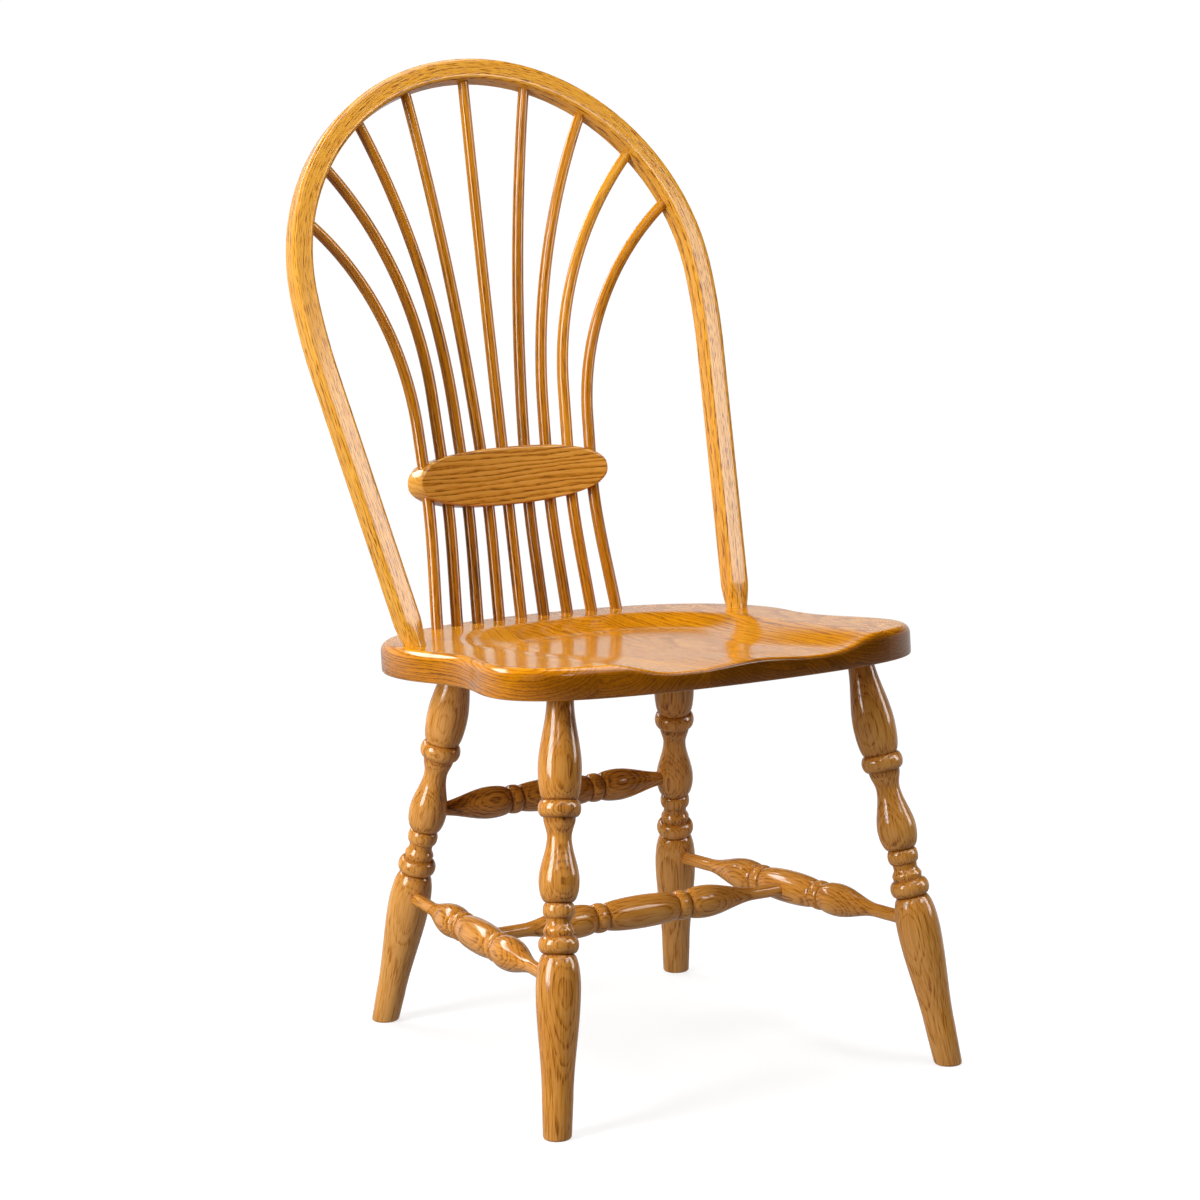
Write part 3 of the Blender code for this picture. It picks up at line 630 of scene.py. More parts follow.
class CHAIR_OT_legs(bpy.types.Operator):
    """Turn one leg, copy it to the four corners and saw the feet level with the floor"""

    bl_idname = "chair.legs"
    bl_label = "Legs"

    def execute(self, context):
        legs = sizes("legs")
        corners = [(side, end) for end in ("front", "rear") for side in (-1, 1)]
        reaches = [leg_reach(leg_place(*corner)) for corner in corners]
        profile = leg_profile(max(reaches))
        hollows = hollows_of(profile)
        blank = lathe("turned_leg", profile, TURNED_SIDES)
        for (side, end), reach, pith, tone in zip(corners, reaches, LEG_PITHS, LEG_TONES):
            name = f"leg_{end}_{'left' if side < 0 else 'right'}"
            leg = copy_of(blank, "turned_" + name)
            cut_off((0, 0, reach), (0, 0, 1))
            place = leg_place(side, end)
            set_in_place(leg, place)
            cut_off((0, 0, 0), (0, 0, -1))
            select_edges(leg, self.is_foot_rim)
            bpy.ops.mesh.bevel(offset=legs.foot_ease, segments=EASED_EDGE, affect="EDGES")
            close_shape()
            set_mode("OBJECT")
            lay_grain(leg, place.inverted(), pith, tone, hollows)
            finish_piece(leg, "oak_leg", name)
        bpy.data.objects.remove(blank, do_unlink=True)
        return {"FINISHED"}

    @staticmethod
    def is_foot_rim(edge):
        return is_rim(edge) and all(vert.co.z < MERGE for vert in edge.verts)


# Stretchers


def stretcher_profile(half_length):
    rail = sizes("stretchers")
    ring_end = rail.barrel_half + rail.ring_width
    cuts = [
        ("fall", rail.barrel_half, rail.groove_radius),
        *bead(rail.barrel_half, ring_end, rail.ring_radius, rail.groove_radius),
        ("rise", rail.bulb_offset, rail.bulb_radius),
        ("ogee", min(rail.taper_end, half_length - rail.end_depth / 2), rail.end_radius),
        ("line", half_length, rail.end_radius),
    ]
    half = turned_profile((0.0, rail.barrel_radius), cuts)
    return [(-position, radius) for position, radius in half[:0:-1]] + half


class CHAIR_OT_stretchers(bpy.types.Operator):
    """Turn the four stretchers and set them between the legs and each other"""

    bl_idname = "chair.stretchers"
    bl_label = "Stretchers"

    def execute(self, context):
        legs = sizes("legs")
        rail = sizes("stretchers")
        stretch = leg_stretch()
        low = (legs.calf_height + rail.rise) * stretch
        high = legs.vase_height * stretch
        profile = leg_profile(leg_reach(leg_place(-1, "front")))
        calf_radius = float(np.interp(low, *zip(*profile)))

        def on_leg(side, end, height):
            return leg_place(side, end) @ Vector((0, 0, height))

        sides = [[on_leg(side, end, low) for end in ("front", "rear")] for side in (-1, 1)]
        vases = [on_leg(side, "rear", high) for side in (-1, 1)]
        middles = [(front + rear) / 2 for front, rear in sides]
        runs = (  # node, both ends, radius of what holds it, pith, tone
            ("side_stretcher_left", *sides[0], calf_radius, (-0.019, -0.006), 0.06),
            ("side_stretcher_right", *sides[1], calf_radius, (-0.018, 0.007), 0.02),
            ("centre_stretcher", *middles, rail.barrel_radius, (0.021, 0.003), -0.03),
            # the rear stretcher's darker tone is painted shade from the seat over it
            ("rear_stretcher", *vases, legs.vase_radius, (0.018, -0.010), 0.16),
        )
        for name, start, end, holder_radius, pith, tone in runs:
            half_length = (end - start).length / 2 - holder_radius + rail.end_depth
            profile = stretcher_profile(half_length)
            piece = lathe("turned_" + name, profile, TURNED_SIDES)
            lay_grain(piece, Matrix(), pith, tone, hollows_of(profile))
            set_in_place(piece, along((start + end) / 2, end - start))
            finish_piece(piece, "oak_stretcher", name)
        return {"FINISHED"}


# Seat

SEAT_SIDE_SHADE = 0.28  # painted shade: darker on the plank's upright sides, which take less light than its top


def seat_outline():
    """The plank's edge, from the front middle round by the right and the back."""
    seat = sizes("seat")
    front = Vector((0, -seat.depth / 2))
    back = Vector((0, seat.depth / 2))
    lobe = Vector((seat.front_width / 2, front.y + seat.front_lobe_setback))
    waist = Vector((seat.waist_width / 2, seat.waist_y))
    rear = Vector((seat.rear_width / 2, back.y - seat.rear_lobe_setback))
    across = Vector((1, 0))
    deep = Vector((0, 1))
    corner = seat.corner_fullness
    round_back = seat.back_fullness
    to_waist = deep * (waist.y - lobe.y) * seat.waist_fullness
    from_waist = deep * (rear.y - waist.y) * seat.waist_fullness
    spans = (  # start, how it leaves, how it arrives, end, facets
        (front, across * lobe.x * corner, deep * (lobe.y - front.y) * corner, lobe, 44),
        (lobe, to_waist, to_waist, waist, 18),
        (waist, from_waist, from_waist, rear, 16),
        (rear, deep * (back.y - rear.y) * round_back, -across * rear.x * round_back, back, 46),
    )
    right = []
    for start, leave, arrive, end, facets in spans:
        right += interpolate_bezier(start, start + leave, end - arrive, end, facets + 1)[:-1]
    left = [Vector((-point.x, point.y)) for point in right[:0:-1]]
    return right + [back] + left


def saddle(x, y):
    """Height of the saddled top over the plank's top plane."""
    seat = sizes("seat")
    reach = seat.dish_back_reach if y > seat.dish_centre_y else seat.dish_front_reach
    across = abs(x / seat.dish_half_width) ** seat.dish_fullness
    deep = abs((y - seat.dish_centre_y) / reach) ** seat.dish_fullness
    rim = (across + deep) ** (1 / seat.dish_fullness)
    gentle = ease(1 - abs(y - seat.dish_side_y) / seat.dish_side_length)
    wall = seat.dish_wall + (seat.dish_side_wall - seat.dish_wall) * gentle
    height = -seat.dish_depth * ease((1 - rim) / wall)
    if abs(x) < seat.ridge_half_width:
        crown = cos(pi / 2 * x / seat.ridge_half_width) ** 2
        height += seat.ridge_height * crown * ease(1 - (y + seat.depth / 2) / seat.ridge_length)
    return height


class CHAIR_OT_seat(bpy.types.Operator):
    """Saw the seat plank to its outline, carve the saddle and round the edges"""

    bl_idname = "chair.seat"
    bl_label = "Seat"

    def execute(self, context):
        seat = sizes("seat")
        outline = [(point.x, point.y, -seat.thickness) for point in seat_outline()]
        piece = begin_outline("saddled_seat", outline, "NGON")
        extrude(0, 0, seat.thickness)
        bpy.ops.mesh.inset(thickness=seat.edge_round * SADDLE_RIM, depth=0)
        centre = (0, seat.dish_centre_y, 0)
        for k in range(SADDLE_RINGS, 1, -1):
            extrude(0, 0, 0)
            shrink = (k - 1) / k
            bpy.ops.transform.resize(value=(shrink, shrink, 1), center_override=centre)
        bpy.ops.mesh.poke()
        close_shape()
        bm = bmesh.from_edit_mesh(piece.data)
        for vert in bm.verts:
            if vert.co.z > -seat.thickness / 2:
                vert.co.z += saddle(vert.co.x, vert.co.y)
        bmesh.update_edit_mesh(piece.data)
        self.round_edges(piece, seat)
        # painted shade on the plank's upright sides, the more the more upright a face is
        sides = np.array([1 - abs(normal.vector.z) for normal in piece.data.vertex_normals])
        lay_grain(piece, Matrix.Rotation(pi / 2, 4, "X"), (0, 0), SEAT_SIDE_SHADE * sides)
        set_in_place(piece, seat_place())
        finish_piece(piece, "oak_seat", "seat")
        return {"FINISHED"}

    def round_edges(self, piece, seat):
        """Rounds the rims: most where the top is uncarved, least where the saddle runs out in front."""
        bm = bmesh.from_edit_mesh(piece.data)
        weights = bm.edges.layers.float.new("bevel_weight_edge")
        for edge in bm.edges:
            if is_rim(edge):
                height = max(vert.co.z for vert in edge.verts)
                radius = seat.edge_ease
                if height > -seat.thickness / 2 - seat.dish_depth / 2:
                    dip = min(1.0, max(0.0, -height / seat.dish_depth))
                    radius = seat.edge_round + (seat.dip_round - seat.edge_round) * dip
                edge[weights] = radius / seat.edge_round
        bmesh.update_edit_mesh(piece.data)
        take_up(piece)
        bevel = piece.modifiers.new("rounded_edges", "BEVEL")
        bevel.limit_method = "WEIGHT"
        bevel.width = seat.edge_round
        bevel.segments = SEAT_EDGE
        bpy.ops.object.modifier_apply(modifier=bevel.name)
        set_mode("EDIT")
        close_shape()
        set_mode("OBJECT")


# Bow

BOW_PITH = (0.060, 0.018)


def bow_path():
    """Middle of the bar in its plane, from the left end over the top to the right end."""
    bow = sizes("bow")
    foot = Vector((bow.foot_x, 0))
    flank_centre = Vector((bow.radius - bow.flank_radius, bow.centre_rise))
    to_centre = flank_centre - foot
    slope = atan2(to_centre.y, to_centre.x) - asin(bow.flank_radius / to_centre.length)
    run = Vector((cos(slope), sin(slope)))
    straight = sqrt(to_centre.length_squared - bow.flank_radius ** 2)
    right = [foot - run * sizes("seat").thickness * bow.socket]
    steps = BOW_FLANK_STEPS
    right += [foot + run * straight * k / steps for k in range(steps + 1)]
    arcs = (  # centre, radius, first and last turn, facets
        (flank_centre, bow.flank_radius, slope - pi / 2, 0.0, 40),
        (Vector((0, bow.centre_rise)), bow.radius, 0.0, pi / 2, 120),
    )
    for centre, radius, start, end, facets in arcs:
        for k in range(1, facets + 1):
            turn = start + (end - start) * k / facets
            right.append(centre + Vector((cos(turn), sin(turn))) * radius)
    left = [Vector((-point.x, point.y)) for point in right[:-1]]
    return left + right[::-1]


class CHAIR_OT_bow(bpy.types.Operator):
    """Plane the bow's bar square, round its ends and bend it over the hoop"""

    bl_idname = "chair.bow"
    bl_label = "Bow"

    def execute(self, context):
        bow = sizes("bow")
        path = bow_path()
        whole = path_length(path)
        shoulder = sizes("seat").thickness * bow.socket
        section = [(x, y, shoulder + bow.end_taper) for x, y in self.bar_section(bow)]
        piece = begin_outline("bent_bow", section, "NGON")
        square = whole - 2 * (shoulder + bow.end_taper)
        extrude(0, 0, square)
        select_edges(piece, lambda edge: abs(edge.verts[0].co.z - edge.verts[1].co.z) > square / 2)
        bpy.ops.mesh.subdivide(number_cuts=BOW_CUTS)
        for low in (True, False):
            self.round_end(piece, low, shoulder, bow)
        close_shape()
        set_mode("OBJECT")
        lay_grain(piece, Matrix(), BOW_PITH, 0.0)
        piece.data.transform(Matrix.Rotation(pi / 2, 4, "Y") @ Matrix.Rotation(pi / 2, 4, "Z"))
        steam_bend(piece, path, True, "POS_X")
        set_in_place(piece, bow_place() @ Matrix.Rotation(pi / 2, 4, "X"))
        finish_piece(piece, "oak_bow", "back_bow")
        return {"FINISHED"}

    def bar_section(self, bow):
        """Points round the bar's section, on its flats as well as on its corners."""
        points = []
        for quarter in range(4):
            turned = Matrix.Rotation(quarter * pi / 2, 2)
            out, aside = bow.width / 2, bow.depth / 2
            if quarter % 2:
                out, aside = aside, out
            for k in range(BAR_FACETS):
                flat = (aside - bow.corner) * (2 * k / BAR_FACETS - 1)
                points.append(turned @ Vector((out, flat)))
            for k in range(BAR_FACETS):
                turn = pi / 2 * k / BAR_FACETS
                x = out - bow.corner * (1 - cos(turn))
                y = aside - bow.corner * (1 - sin(turn))
                points.append(turned @ Vector((x, y)))
        return points

    def round_end(self, piece, low, shoulder, bow):
        """Draws one end of the bar out to a round tenon."""
        bpy.ops.mesh.select_mode(type="FACE")
        bpy.ops.mesh.select_all(action="DESELECT")
        bm = bmesh.from_edit_mesh(piece.data)
        level = min if low else max
        end_face = level(bm.faces, key=lambda face: face.calc_center_median().z)
        end_face.select = True
        bm.select_flush_mode()
        bmesh.update_edit_mesh(piece.data)
        side = -1 if low else 1
        squareness = [1 - (k / BOW_END_STEPS) ** BOW_END_CURVE for k in range(BOW_END_STEPS + 1)]
        for before, after in zip(squareness, squareness[1:]):
            extrude(0, 0, side * bow.end_taper / BOW_END_STEPS)
            bm = bmesh.from_edit_mesh(piece.data)
            for vert in bm.verts:
                if vert.select:
                    flat = Vector((vert.co.x, vert.co.y))
                    ring = flat.normalized() * bow.end_radius
                    vert.co.x, vert.co.y = ring.lerp(flat, after / before)
            bmesh.update_edit_mesh(piece.data)
        extrude(0, 0, side * shoulder)


# Block

BLOCK_PITH = (0.170, 0.045)


class CHAIR_OT_block(bpy.types.Operator):
    """Saw the oval block, ease its edges and bend it to the sitter's back"""

    bl_idname = "chair.block"
    bl_label = "Block"

    def execute(self, context):
        block = sizes("block")
        half_length = OUTER_PLACE * sizes("spindles").block_pitch + block.end
        power = 2 / block.fullness
        outline = []
        for k in range(BLOCK_POINTS):
            turn = tau * k / BLOCK_POINTS
            across = copysign(abs(cos(turn)) ** power, cos(turn))
            up = copysign(abs(sin(turn)) ** power, sin(turn))
            outline.append((half_length * across, -block.thickness / 2, block.height / 2 * up))
        piece = begin_outline("oval_block", outline, "NOTHING")
        select_whole()
        bpy.ops.mesh.fill_grid(span=BLOCK_SPAN)
        select_whole()
        extrude(0, block.thickness, 0)
        close_shape()
        select_edges(piece, is_rim)
        bpy.ops.mesh.bevel(offset=block.edge_round, segments=EASED_EDGE, affect="EDGES")
        close_shape()
        set_mode("OBJECT")
        lay_grain(piece, Matrix.Rotation(-pi / 2, 4, "Y"), BLOCK_PITH, 0.0)
        piece.data.transform(Matrix.Translation((half_length, 0, 0)))
        path = []
        for k in range(PATH_STEPS + 1):
            turn = (2 * k / PATH_STEPS - 1) * half_length / block.curve
            path.append(Vector((sin(turn), cos(turn) - 1)) * block.curve)
        steam_bend(piece, path, True, "POS_X")
        set_in_place(piece, block_place())
        finish_piece(piece, "oak_block", "sheaf_block")
        return {"FINISHED"}


# Spindles

SPINDLE_TONES = (0.09, 0.12, 0.19, 0.12, 0.07, 0.22, 0.06, -0.10, 0.10)
SPINDLE_PITH = 0.030  # from the spindle to the log's middle
SPINDLE_TURN = 2.4  # each blank is turned by this in the log against the one before
SLIM_FROM = 0.4  # share of the length where a spindle begins to slim
SPINDLE_PAINTED_LIGHT_AT = (0.0, 0.3, 0.42, 0.6, 1.0)  # shares of the length
SPINDLE_PAINTED_LIGHT = (0.06, 0.03, -0.02, -0.08, -0.14)  # painted light: darker at the seat and paler towards the bow, as if more light fell on the spindles up high


def spindle_path(place):
    """From the tip in the seat, through the block and round to the tip in the bow."""
    seat = sizes("seat")
    bow = sizes("bow")
    rods = sizes("spindles")
    curve = sizes("block").curve
    x = place * rods.seat_pitch
    y = seat_end(1) - rods.seat_setback - rods.seat_curve + sqrt(rods.seat_curve ** 2 - x ** 2)
    foot = Vector((x, y, seat_top_at(y)))
    turned = place * rods.block_pitch / curve
    waist = block_place() @ Vector((curve * sin(turned), curve * cos(turned) - curve, 0))
    toe = copysign(rods.toe, place) if place else 0.0
    up = block_place().to_3x3() @ Vector((sin(toe) * cos(turned), -sin(toe) * sin(turned), cos(toe)))
    round_bow = place * (rods.bow_pitch - abs(place) * rods.bow_closing)
    reach = bow.radius - bow.width * (0.5 - rods.bow_socket)
    top = bow_place() @ Vector((reach * sin(round_bow), 0, bow.centre_rise + reach * cos(round_bow)))

    rise = (waist - foot).normalized()
    tip = foot - rise * seat.thickness * rods.socket
    third = (waist - tip).length / 3
    path = interpolate_bezier(tip, tip + rise * third, waist - up * third, waist, SEATED_STEPS)
    start = waist + up * SPINDLE_RUNS[abs(place)]
    chord = top - start
    aside = chord - up * chord.dot(up)
    bend = 2 * atan2(aside.length, chord.dot(up))
    radius = chord.length_squared / (2 * aside.length)
    aside.normalize()
    for k in range(PATH_STEPS + 1):
        turn = bend * k / PATH_STEPS
        path.append(start + (up * sin(turn) + aside * (1 - cos(turn))) * radius)
    return path


class CHAIR_OT_spindles(bpy.types.Operator):
    """Turn the spindles straight and bend each from the seat through the block to the bow"""

    bl_idname = "chair.spindles"
    bl_label = "Spindles"

    def execute(self, context):
        rods = sizes("spindles")
        for number, tone in enumerate(SPINDLE_TONES):
            path = spindle_path(number - OUTER_PLACE)
            whole = path_length(path)
            profile = []
            for k in range(SPINDLE_FACETS + 1):
                t = k / SPINDLE_FACETS
                slim = max(0.0, (t - SLIM_FROM) / (1 - SLIM_FROM))
                profile.append((whole * t, rods.radius + (rods.tip_radius - rods.radius) * slim))
            piece = lathe(f"bent_spindle_{number + 1}", profile, SPINDLE_SIDES)
            turn = SPINDLE_TURN * number
            pith = (SPINDLE_PITH * cos(turn), SPINDLE_PITH * sin(turn))
            # painted light along each spindle, paler towards the bow
            painted_light = ([whole * part for part in SPINDLE_PAINTED_LIGHT_AT], SPINDLE_PAINTED_LIGHT)
            lay_grain(piece, Matrix(), pith, tone, painted_light)
            steam_bend(piece, path, False, "POS_Z")
            finish_piece(piece, "oak_spindle", f"spindle_{number + 1}")
        return {"FINISHED"}


# Oak


class Wire:
    """A value in a material. Arithmetic on it adds Math nodes, and add makes any other node."""

    def __init__(self, tree, socket=None):
        self.tree = tree
        self.socket = socket

    def add(self, kind, settings, sockets, out=0):
        """A node of a kind, with its settings made first and then its sockets set or linked."""
        node = self.tree.nodes.new(kind)
        for name, value in settings.items():
            if name == "stops":
                self.set_stops(node.color_ramp, value)
            else:
                setattr(node, name, value)
        for name, value in sockets.items():
            if isinstance(value, Wire):
                self.tree.links.new(value.socket, node.inputs[name])
            else:
                node.inputs[name].default_value = value
        return Wire(self.tree, node.outputs[out])

    @staticmethod
    def set_stops(ramp, stops):
        while len(ramp.elements) < len(stops):
            ramp.elements.new(1.0)
        for element, (position, colour) in zip(ramp.elements, stops):
            element.position = position
            element.color = (*colour, 1.0)

    def math(self, operation, *values):
        return self.add("ShaderNodeMath", {"operation": operation}, dict(enumerate(values)))

    def __add__(self, other):
        return self.math("ADD", self, other)

    def __radd__(self, other):
        return self.math("ADD", other, self)

    def __sub__(self, other):
        return self.math("SUBTRACT", self, other)

    def __rsub__(self, other):
        return self.math("SUBTRACT", other, self)

    def __mul__(self, other):
        return self.math("MULTIPLY", self, other)

    def __rmul__(self, other):
        return self.math("MULTIPLY", other, self)

    def __truediv__(self, other):
        return self.math("DIVIDE", self, other)

    def step(self, low, high):
        """0 below low, 1 above high and smooth between."""
        return self.add(
            "ShaderNodeMapRange",
            {"interpolation_type": "SMOOTHSTEP"},
            {"Value": self, "From Min": low, "From Max": high},
        )

    def stretched(self, scale):
        """A place, scaled along each axis."""
        return self.add("ShaderNodeMapping", {"vector_type": "POINT"}, {"Vector": self, "Scale": scale})

    def noise(self, scale, detail=2.0):
        """Even noise at a place, with a scale for each axis."""
        place = self.stretched(scale)
        return self.add("ShaderNodeTexNoise", {}, {"Vector": place, "Scale": 1.0, "Detail": detail})


# Noise across and along the grain, in waves to the metre
SLOW = (9.0, 9.0, 2.2)
WOBBLE = (70.0, 70.0, 9.0)
PORES = (1300.0, 1300.0, 100.0)
BLOTCH = (24.0, 24.0, 5.0)
FIBRE = (420.0, 420.0, 9.0)

# ring is the width of a year's growth, wave and uneven are how far rings stray, lean is the slant of the
# log, lines and band are the darkness and share of early wood, dashes, dash and even are the darkness,
# noise and spread of the pore streaks, tone is the stain's darkness, ends and ends_from are the stain in
# end grain, boards is the width of a board, and wash tints the stain
PLAIN_GRAIN = {
    "uneven": 2.4,
    "band": 0.3,
    "dash": (700.0, 700.0, 55.0),
    "even": 0.2,
    "ends": 0.0,
    "ends_from": 0.4,
    "boards": None,
    "wash": (1, 1, 1),
}
GRAIN = {
    "oak_seat": dict(
        ring=0.0030, wave=0.8, lean=0.050, lines=0.32, dashes=0.16, tone=0.0,
        ends=0.42, ends_from=0.10, boards=0.118, wash=(1.06, 0.97, 0.20),
    ),
    "oak_bow": dict(
        ring=0.0030, wave=0.7, lean=0.004, lines=0.22, dashes=0.50, tone=-0.28,
        even=0.8, dash=(950.0, 950.0, 75.0),
    ),
    "oak_spindle": dict(
        ring=0.0030, wave=0.6, lean=0.006, lines=0.18, dashes=0.26, tone=0.21, wash=(1.0, 0.97, 0.60),
    ),
    "oak_block": dict(
        ring=0.0062, wave=0.8, lean=0.02, lines=0.46, dashes=0.34, tone=-0.12,
        uneven=1.0, band=0.34, wash=(1.0, 1.04, 1.7),
    ),
    "oak_leg": dict(
        ring=0.0019, wave=1.0, lean=0.012, lines=0.17, dashes=0.24, tone=-0.02,
        even=0.8, dash=(540.0, 540.0, 28.0), band=0.24, ends=0.2, wash=(1.0, 1.0, 2.2),
    ),
    "oak_stretcher": dict(
        ring=0.0020, wave=0.9, lean=0.010, lines=0.22, dashes=0.24, tone=-0.03,
        even=0.6, dash=(540.0, 540.0, 34.0), band=0.26, ends=0.2, wash=(1.05, 1.06, 2.2),
    ),
}
BOARD_ASIDE = 0.10  # spread of the boards across their logs
BOARD_OVER, BOARD_OVER_MORE = 0.035, 0.05  # least height of a board over its pith, and the spread
BOARD_ALONG = 0.7  # spread of the boards along their logs
BOARD_TONE = 0.10  # spread of their stain
SLOW_SWAY, WOBBLE_SWAY = 6.0, 2.2  # how far rings stray, in rings
YEARS = 0.35  # how often good and bad years change, in waves to the ring
STREAK_EDGES = (0.44, 0.62)  # noise at which a pore streak begins and is full
PORE_EDGES = (0.54, 0.68)  # the same, for single pores
PORES_EARLY, PORES_LATE = 0.14, 0.06  # darkness of pores that early wood adds, and everywhere
END_GRAIN_FULL = 0.9  # how square to the grain a face is with all its end stain
END_HIDES = 0.55  # share of the figure that end stain hides
BLOTCH_DEPTH, FIBRE_DEPTH = 0.30, 0.26
PLAIN_DEPTH = 0.14  # darkness of the stain on plain wood
PORES_ROUGH, EARLY_ROUGH = 0.10, 0.05  # roughness added by pores and by early wood
RELIEF_LATE = 0.3  # share of the streaks' depth outside early wood
PORE_RELIEF = {"Strength": 0.25, "Distance": 0.00006}
LACQUER_IOR = 1.5


def oak(slot):
    """Stained, lacquered oak: growth rings round the pith, and pores along the grain in early wood."""
    if slot in bpy.data.materials and bpy.data.materials[slot].get("chair_finish"):
        return bpy.data.materials[slot]
    grain = {**PLAIN_GRAIN, **GRAIN[slot]}
    finish = sizes("finish")
    material = bpy.data.materials.new(slot)
    material["chair_finish"] = True
    material.use_nodes = True
    tree = material.node_tree
    shader = tree.nodes["Principled BSDF"]
    wood = Wire(tree)

    def attribute(name, out):
        return wood.add("ShaderNodeAttribute", {"attribute_name": name}, {}, out)

    def ramp(stops, place):
        return wood.add("ShaderNodeValToRGB", {"stops": stops}, {"Fac": place})

    def luck_of(board, seed):
        return wood.add("ShaderNodeTexWhiteNoise", {"noise_dimensions": "1D"}, {"W": board + seed})

    # where a point lies in its log, or in the log of its board
    x = wood.add("ShaderNodeSeparateXYZ", {}, {"Vector": attribute("log", "Vector")})
    y, z = (Wire(tree, x.socket.node.outputs[axis]) for axis in "YZ")
    if grain["boards"]:
        board = wood.math("FLOOR", x / grain["boards"] + 0.5)
        luck = luck_of(board, 3.3)
        x = x - board * grain["boards"] - (luck - 0.5) * BOARD_ASIDE
        y = y + BOARD_OVER + luck_of(board, 11.7) * BOARD_OVER_MORE
        z = z + luck * BOARD_ALONG
    bent = wood.add("ShaderNodeCombineXYZ", {}, {"X": x, "Y": y, "Z": z})

    # growth rings, whose early wood is dark and full of pores
    y = y + z * grain["lean"]
    growth = wood.math("SQRT", x * x + y * y) / grain["ring"]
    years = wood.add("ShaderNodeTexNoise", {"noise_dimensions": "1D"}, {"W": growth, "Scale": YEARS})
    slow = (bent.noise(SLOW, 1.0) - 0.5) * (SLOW_SWAY * grain["wave"])
    wobble = (bent.noise(WOBBLE, 3.0) - 0.5) * (WOBBLE_SWAY * grain["wave"])
    rings = growth + (slow + wobble) + (years - 0.5) * grain["uneven"]
    band = grain["band"]
    shades = ((0.0, 1.0), (0.5 * band, 0.80), (1.5 * band, 0.12), (0.90, 0.0), (1.0, 0.9))
    early = ramp([(at, (shade,) * 3) for at, shade in shades], wood.math("FRACT", rings))
    streaks = bent.noise(grain["dash"], 2.0).step(*STREAK_EDGES)
    pores = bent.noise(PORES, 1.0).step(*PORE_EDGES)

    # how dark the stain is, from honey to pore
    ends = attribute("end_grain", "Fac").step(grain["ends_from"], END_GRAIN_FULL)
    dark = early * grain["lines"] + streaks * (early + grain["even"]) * grain["dashes"]
    dark = dark + pores * (early * PORES_EARLY + PORES_LATE)
    dark = dark * (1 - ends * END_HIDES) + ends * grain["ends"]
    blotch = (bent.noise(BLOTCH, 2.0) - 0.5) * BLOTCH_DEPTH
    mottle = blotch + (bent.noise(FIBRE, 3.0) - 0.5) * FIBRE_DEPTH
    # the tone attribute adds to the stain painted shade on the seat's sides, painted light along the
    # spindles and the hollows' darkening
    depth = PLAIN_DEPTH + grain["tone"] + dark + mottle + attribute("tone", "Fac")
    if grain["boards"]:
        depth = depth + (luck - 0.5) * BOARD_TONE
    stains = ((0.0, finish.honey), (0.36, finish.amber), (0.70, finish.umber), (1.0, finish.pore))
    colour = ramp([(at, Vector(tint) * Vector(grain["wash"])) for at, tint in stains], depth)
    tree.links.new(colour.socket, shader.inputs["Base Color"])
    roughness = finish.gloss + pores * PORES_ROUGH + early * EARLY_ROUGH
    tree.links.new(roughness.socket, shader.inputs["Roughness"])
    height = streaks * (early + RELIEF_LATE)
    relief = wood.add("ShaderNodeBump", {"invert": True}, {**PORE_RELIEF, "Height": height})
    tree.links.new(relief.socket, shader.inputs["Normal"])
    shader.inputs["IOR"].default_value = LACQUER_IOR
    return material


# Studio

FLOOR_RADIUS = 60.0  # also the height of its raised rim
FLOOR_FADE = (0.5, 2.6)  # from the chair, where the floor begins to turn white and is white
FLOOR_GLOW = (0.70, 0.70, 0.70, 1)  # near the chair
FLOOR_WHITE = (1.02, 1.02, 1.02, 1)
LIGHTS_AIM = Vector((0, 0, 0.50))
SOFTBOXES = (  # name, place, width and height, watts, what it lights
    ("key_light", (-2.50, -0.30, 1.45), (1.1, 1.9), 88.0, "turned"),
    ("matt_key_light", (-2.50, -0.30, 1.45), (1.1, 1.9), 88.0, "flat"),
    ("side_sheen", (2.20, -1.30, 1.50), (0.8, 1.9), 40.0, "sheen"),
    ("corner_light", (-2.20, -2.40, 2.60), (0.5, 0.5), 8.0, "mirror"),
    ("fill_light", (1.70, -2.60, 2.50), (1.3, 0.9), 30.0, "all"),
    ("front_light", (-0.5, -2.0, 3.2), (2.0, 2.0), 18.0, "all"),
    ("sky_light", (0.35, 0.0, 2.80), (2.6, 1.3), 46.0, "all"),
    ("rim_light", (-0.85, 2.45, 1.95), (2.0, 0.6), 32.0, "all"),
)
KEY_SHEEN_ON = ("turned_leg", "turned_side", "bent_spindle")  # how the names of these pieces begin
KEY_MATT_ON = ("turned_", "saddled_", "bent_", "oval_", "studio_")  # the same, for the others
SWEEP_AHEAD = (0.49, 0.86, 0.0)  # the way to the white sweep behind the chair
SWEEP_EDGES = (0.10, 0.70)  # how much a view goes that way, at its side and where it is full
SWEEP_TOP = (0.14, 0.36)  # heights of a view between which it fades
SWEEP_FOOT = (-0.30, -0.05)
GROUND_TOP = (-0.24, -0.04)
ROOM_GLOW = 0.015
SWEEP_GLOW = 0.60
GROUND_GLOW = 0.34


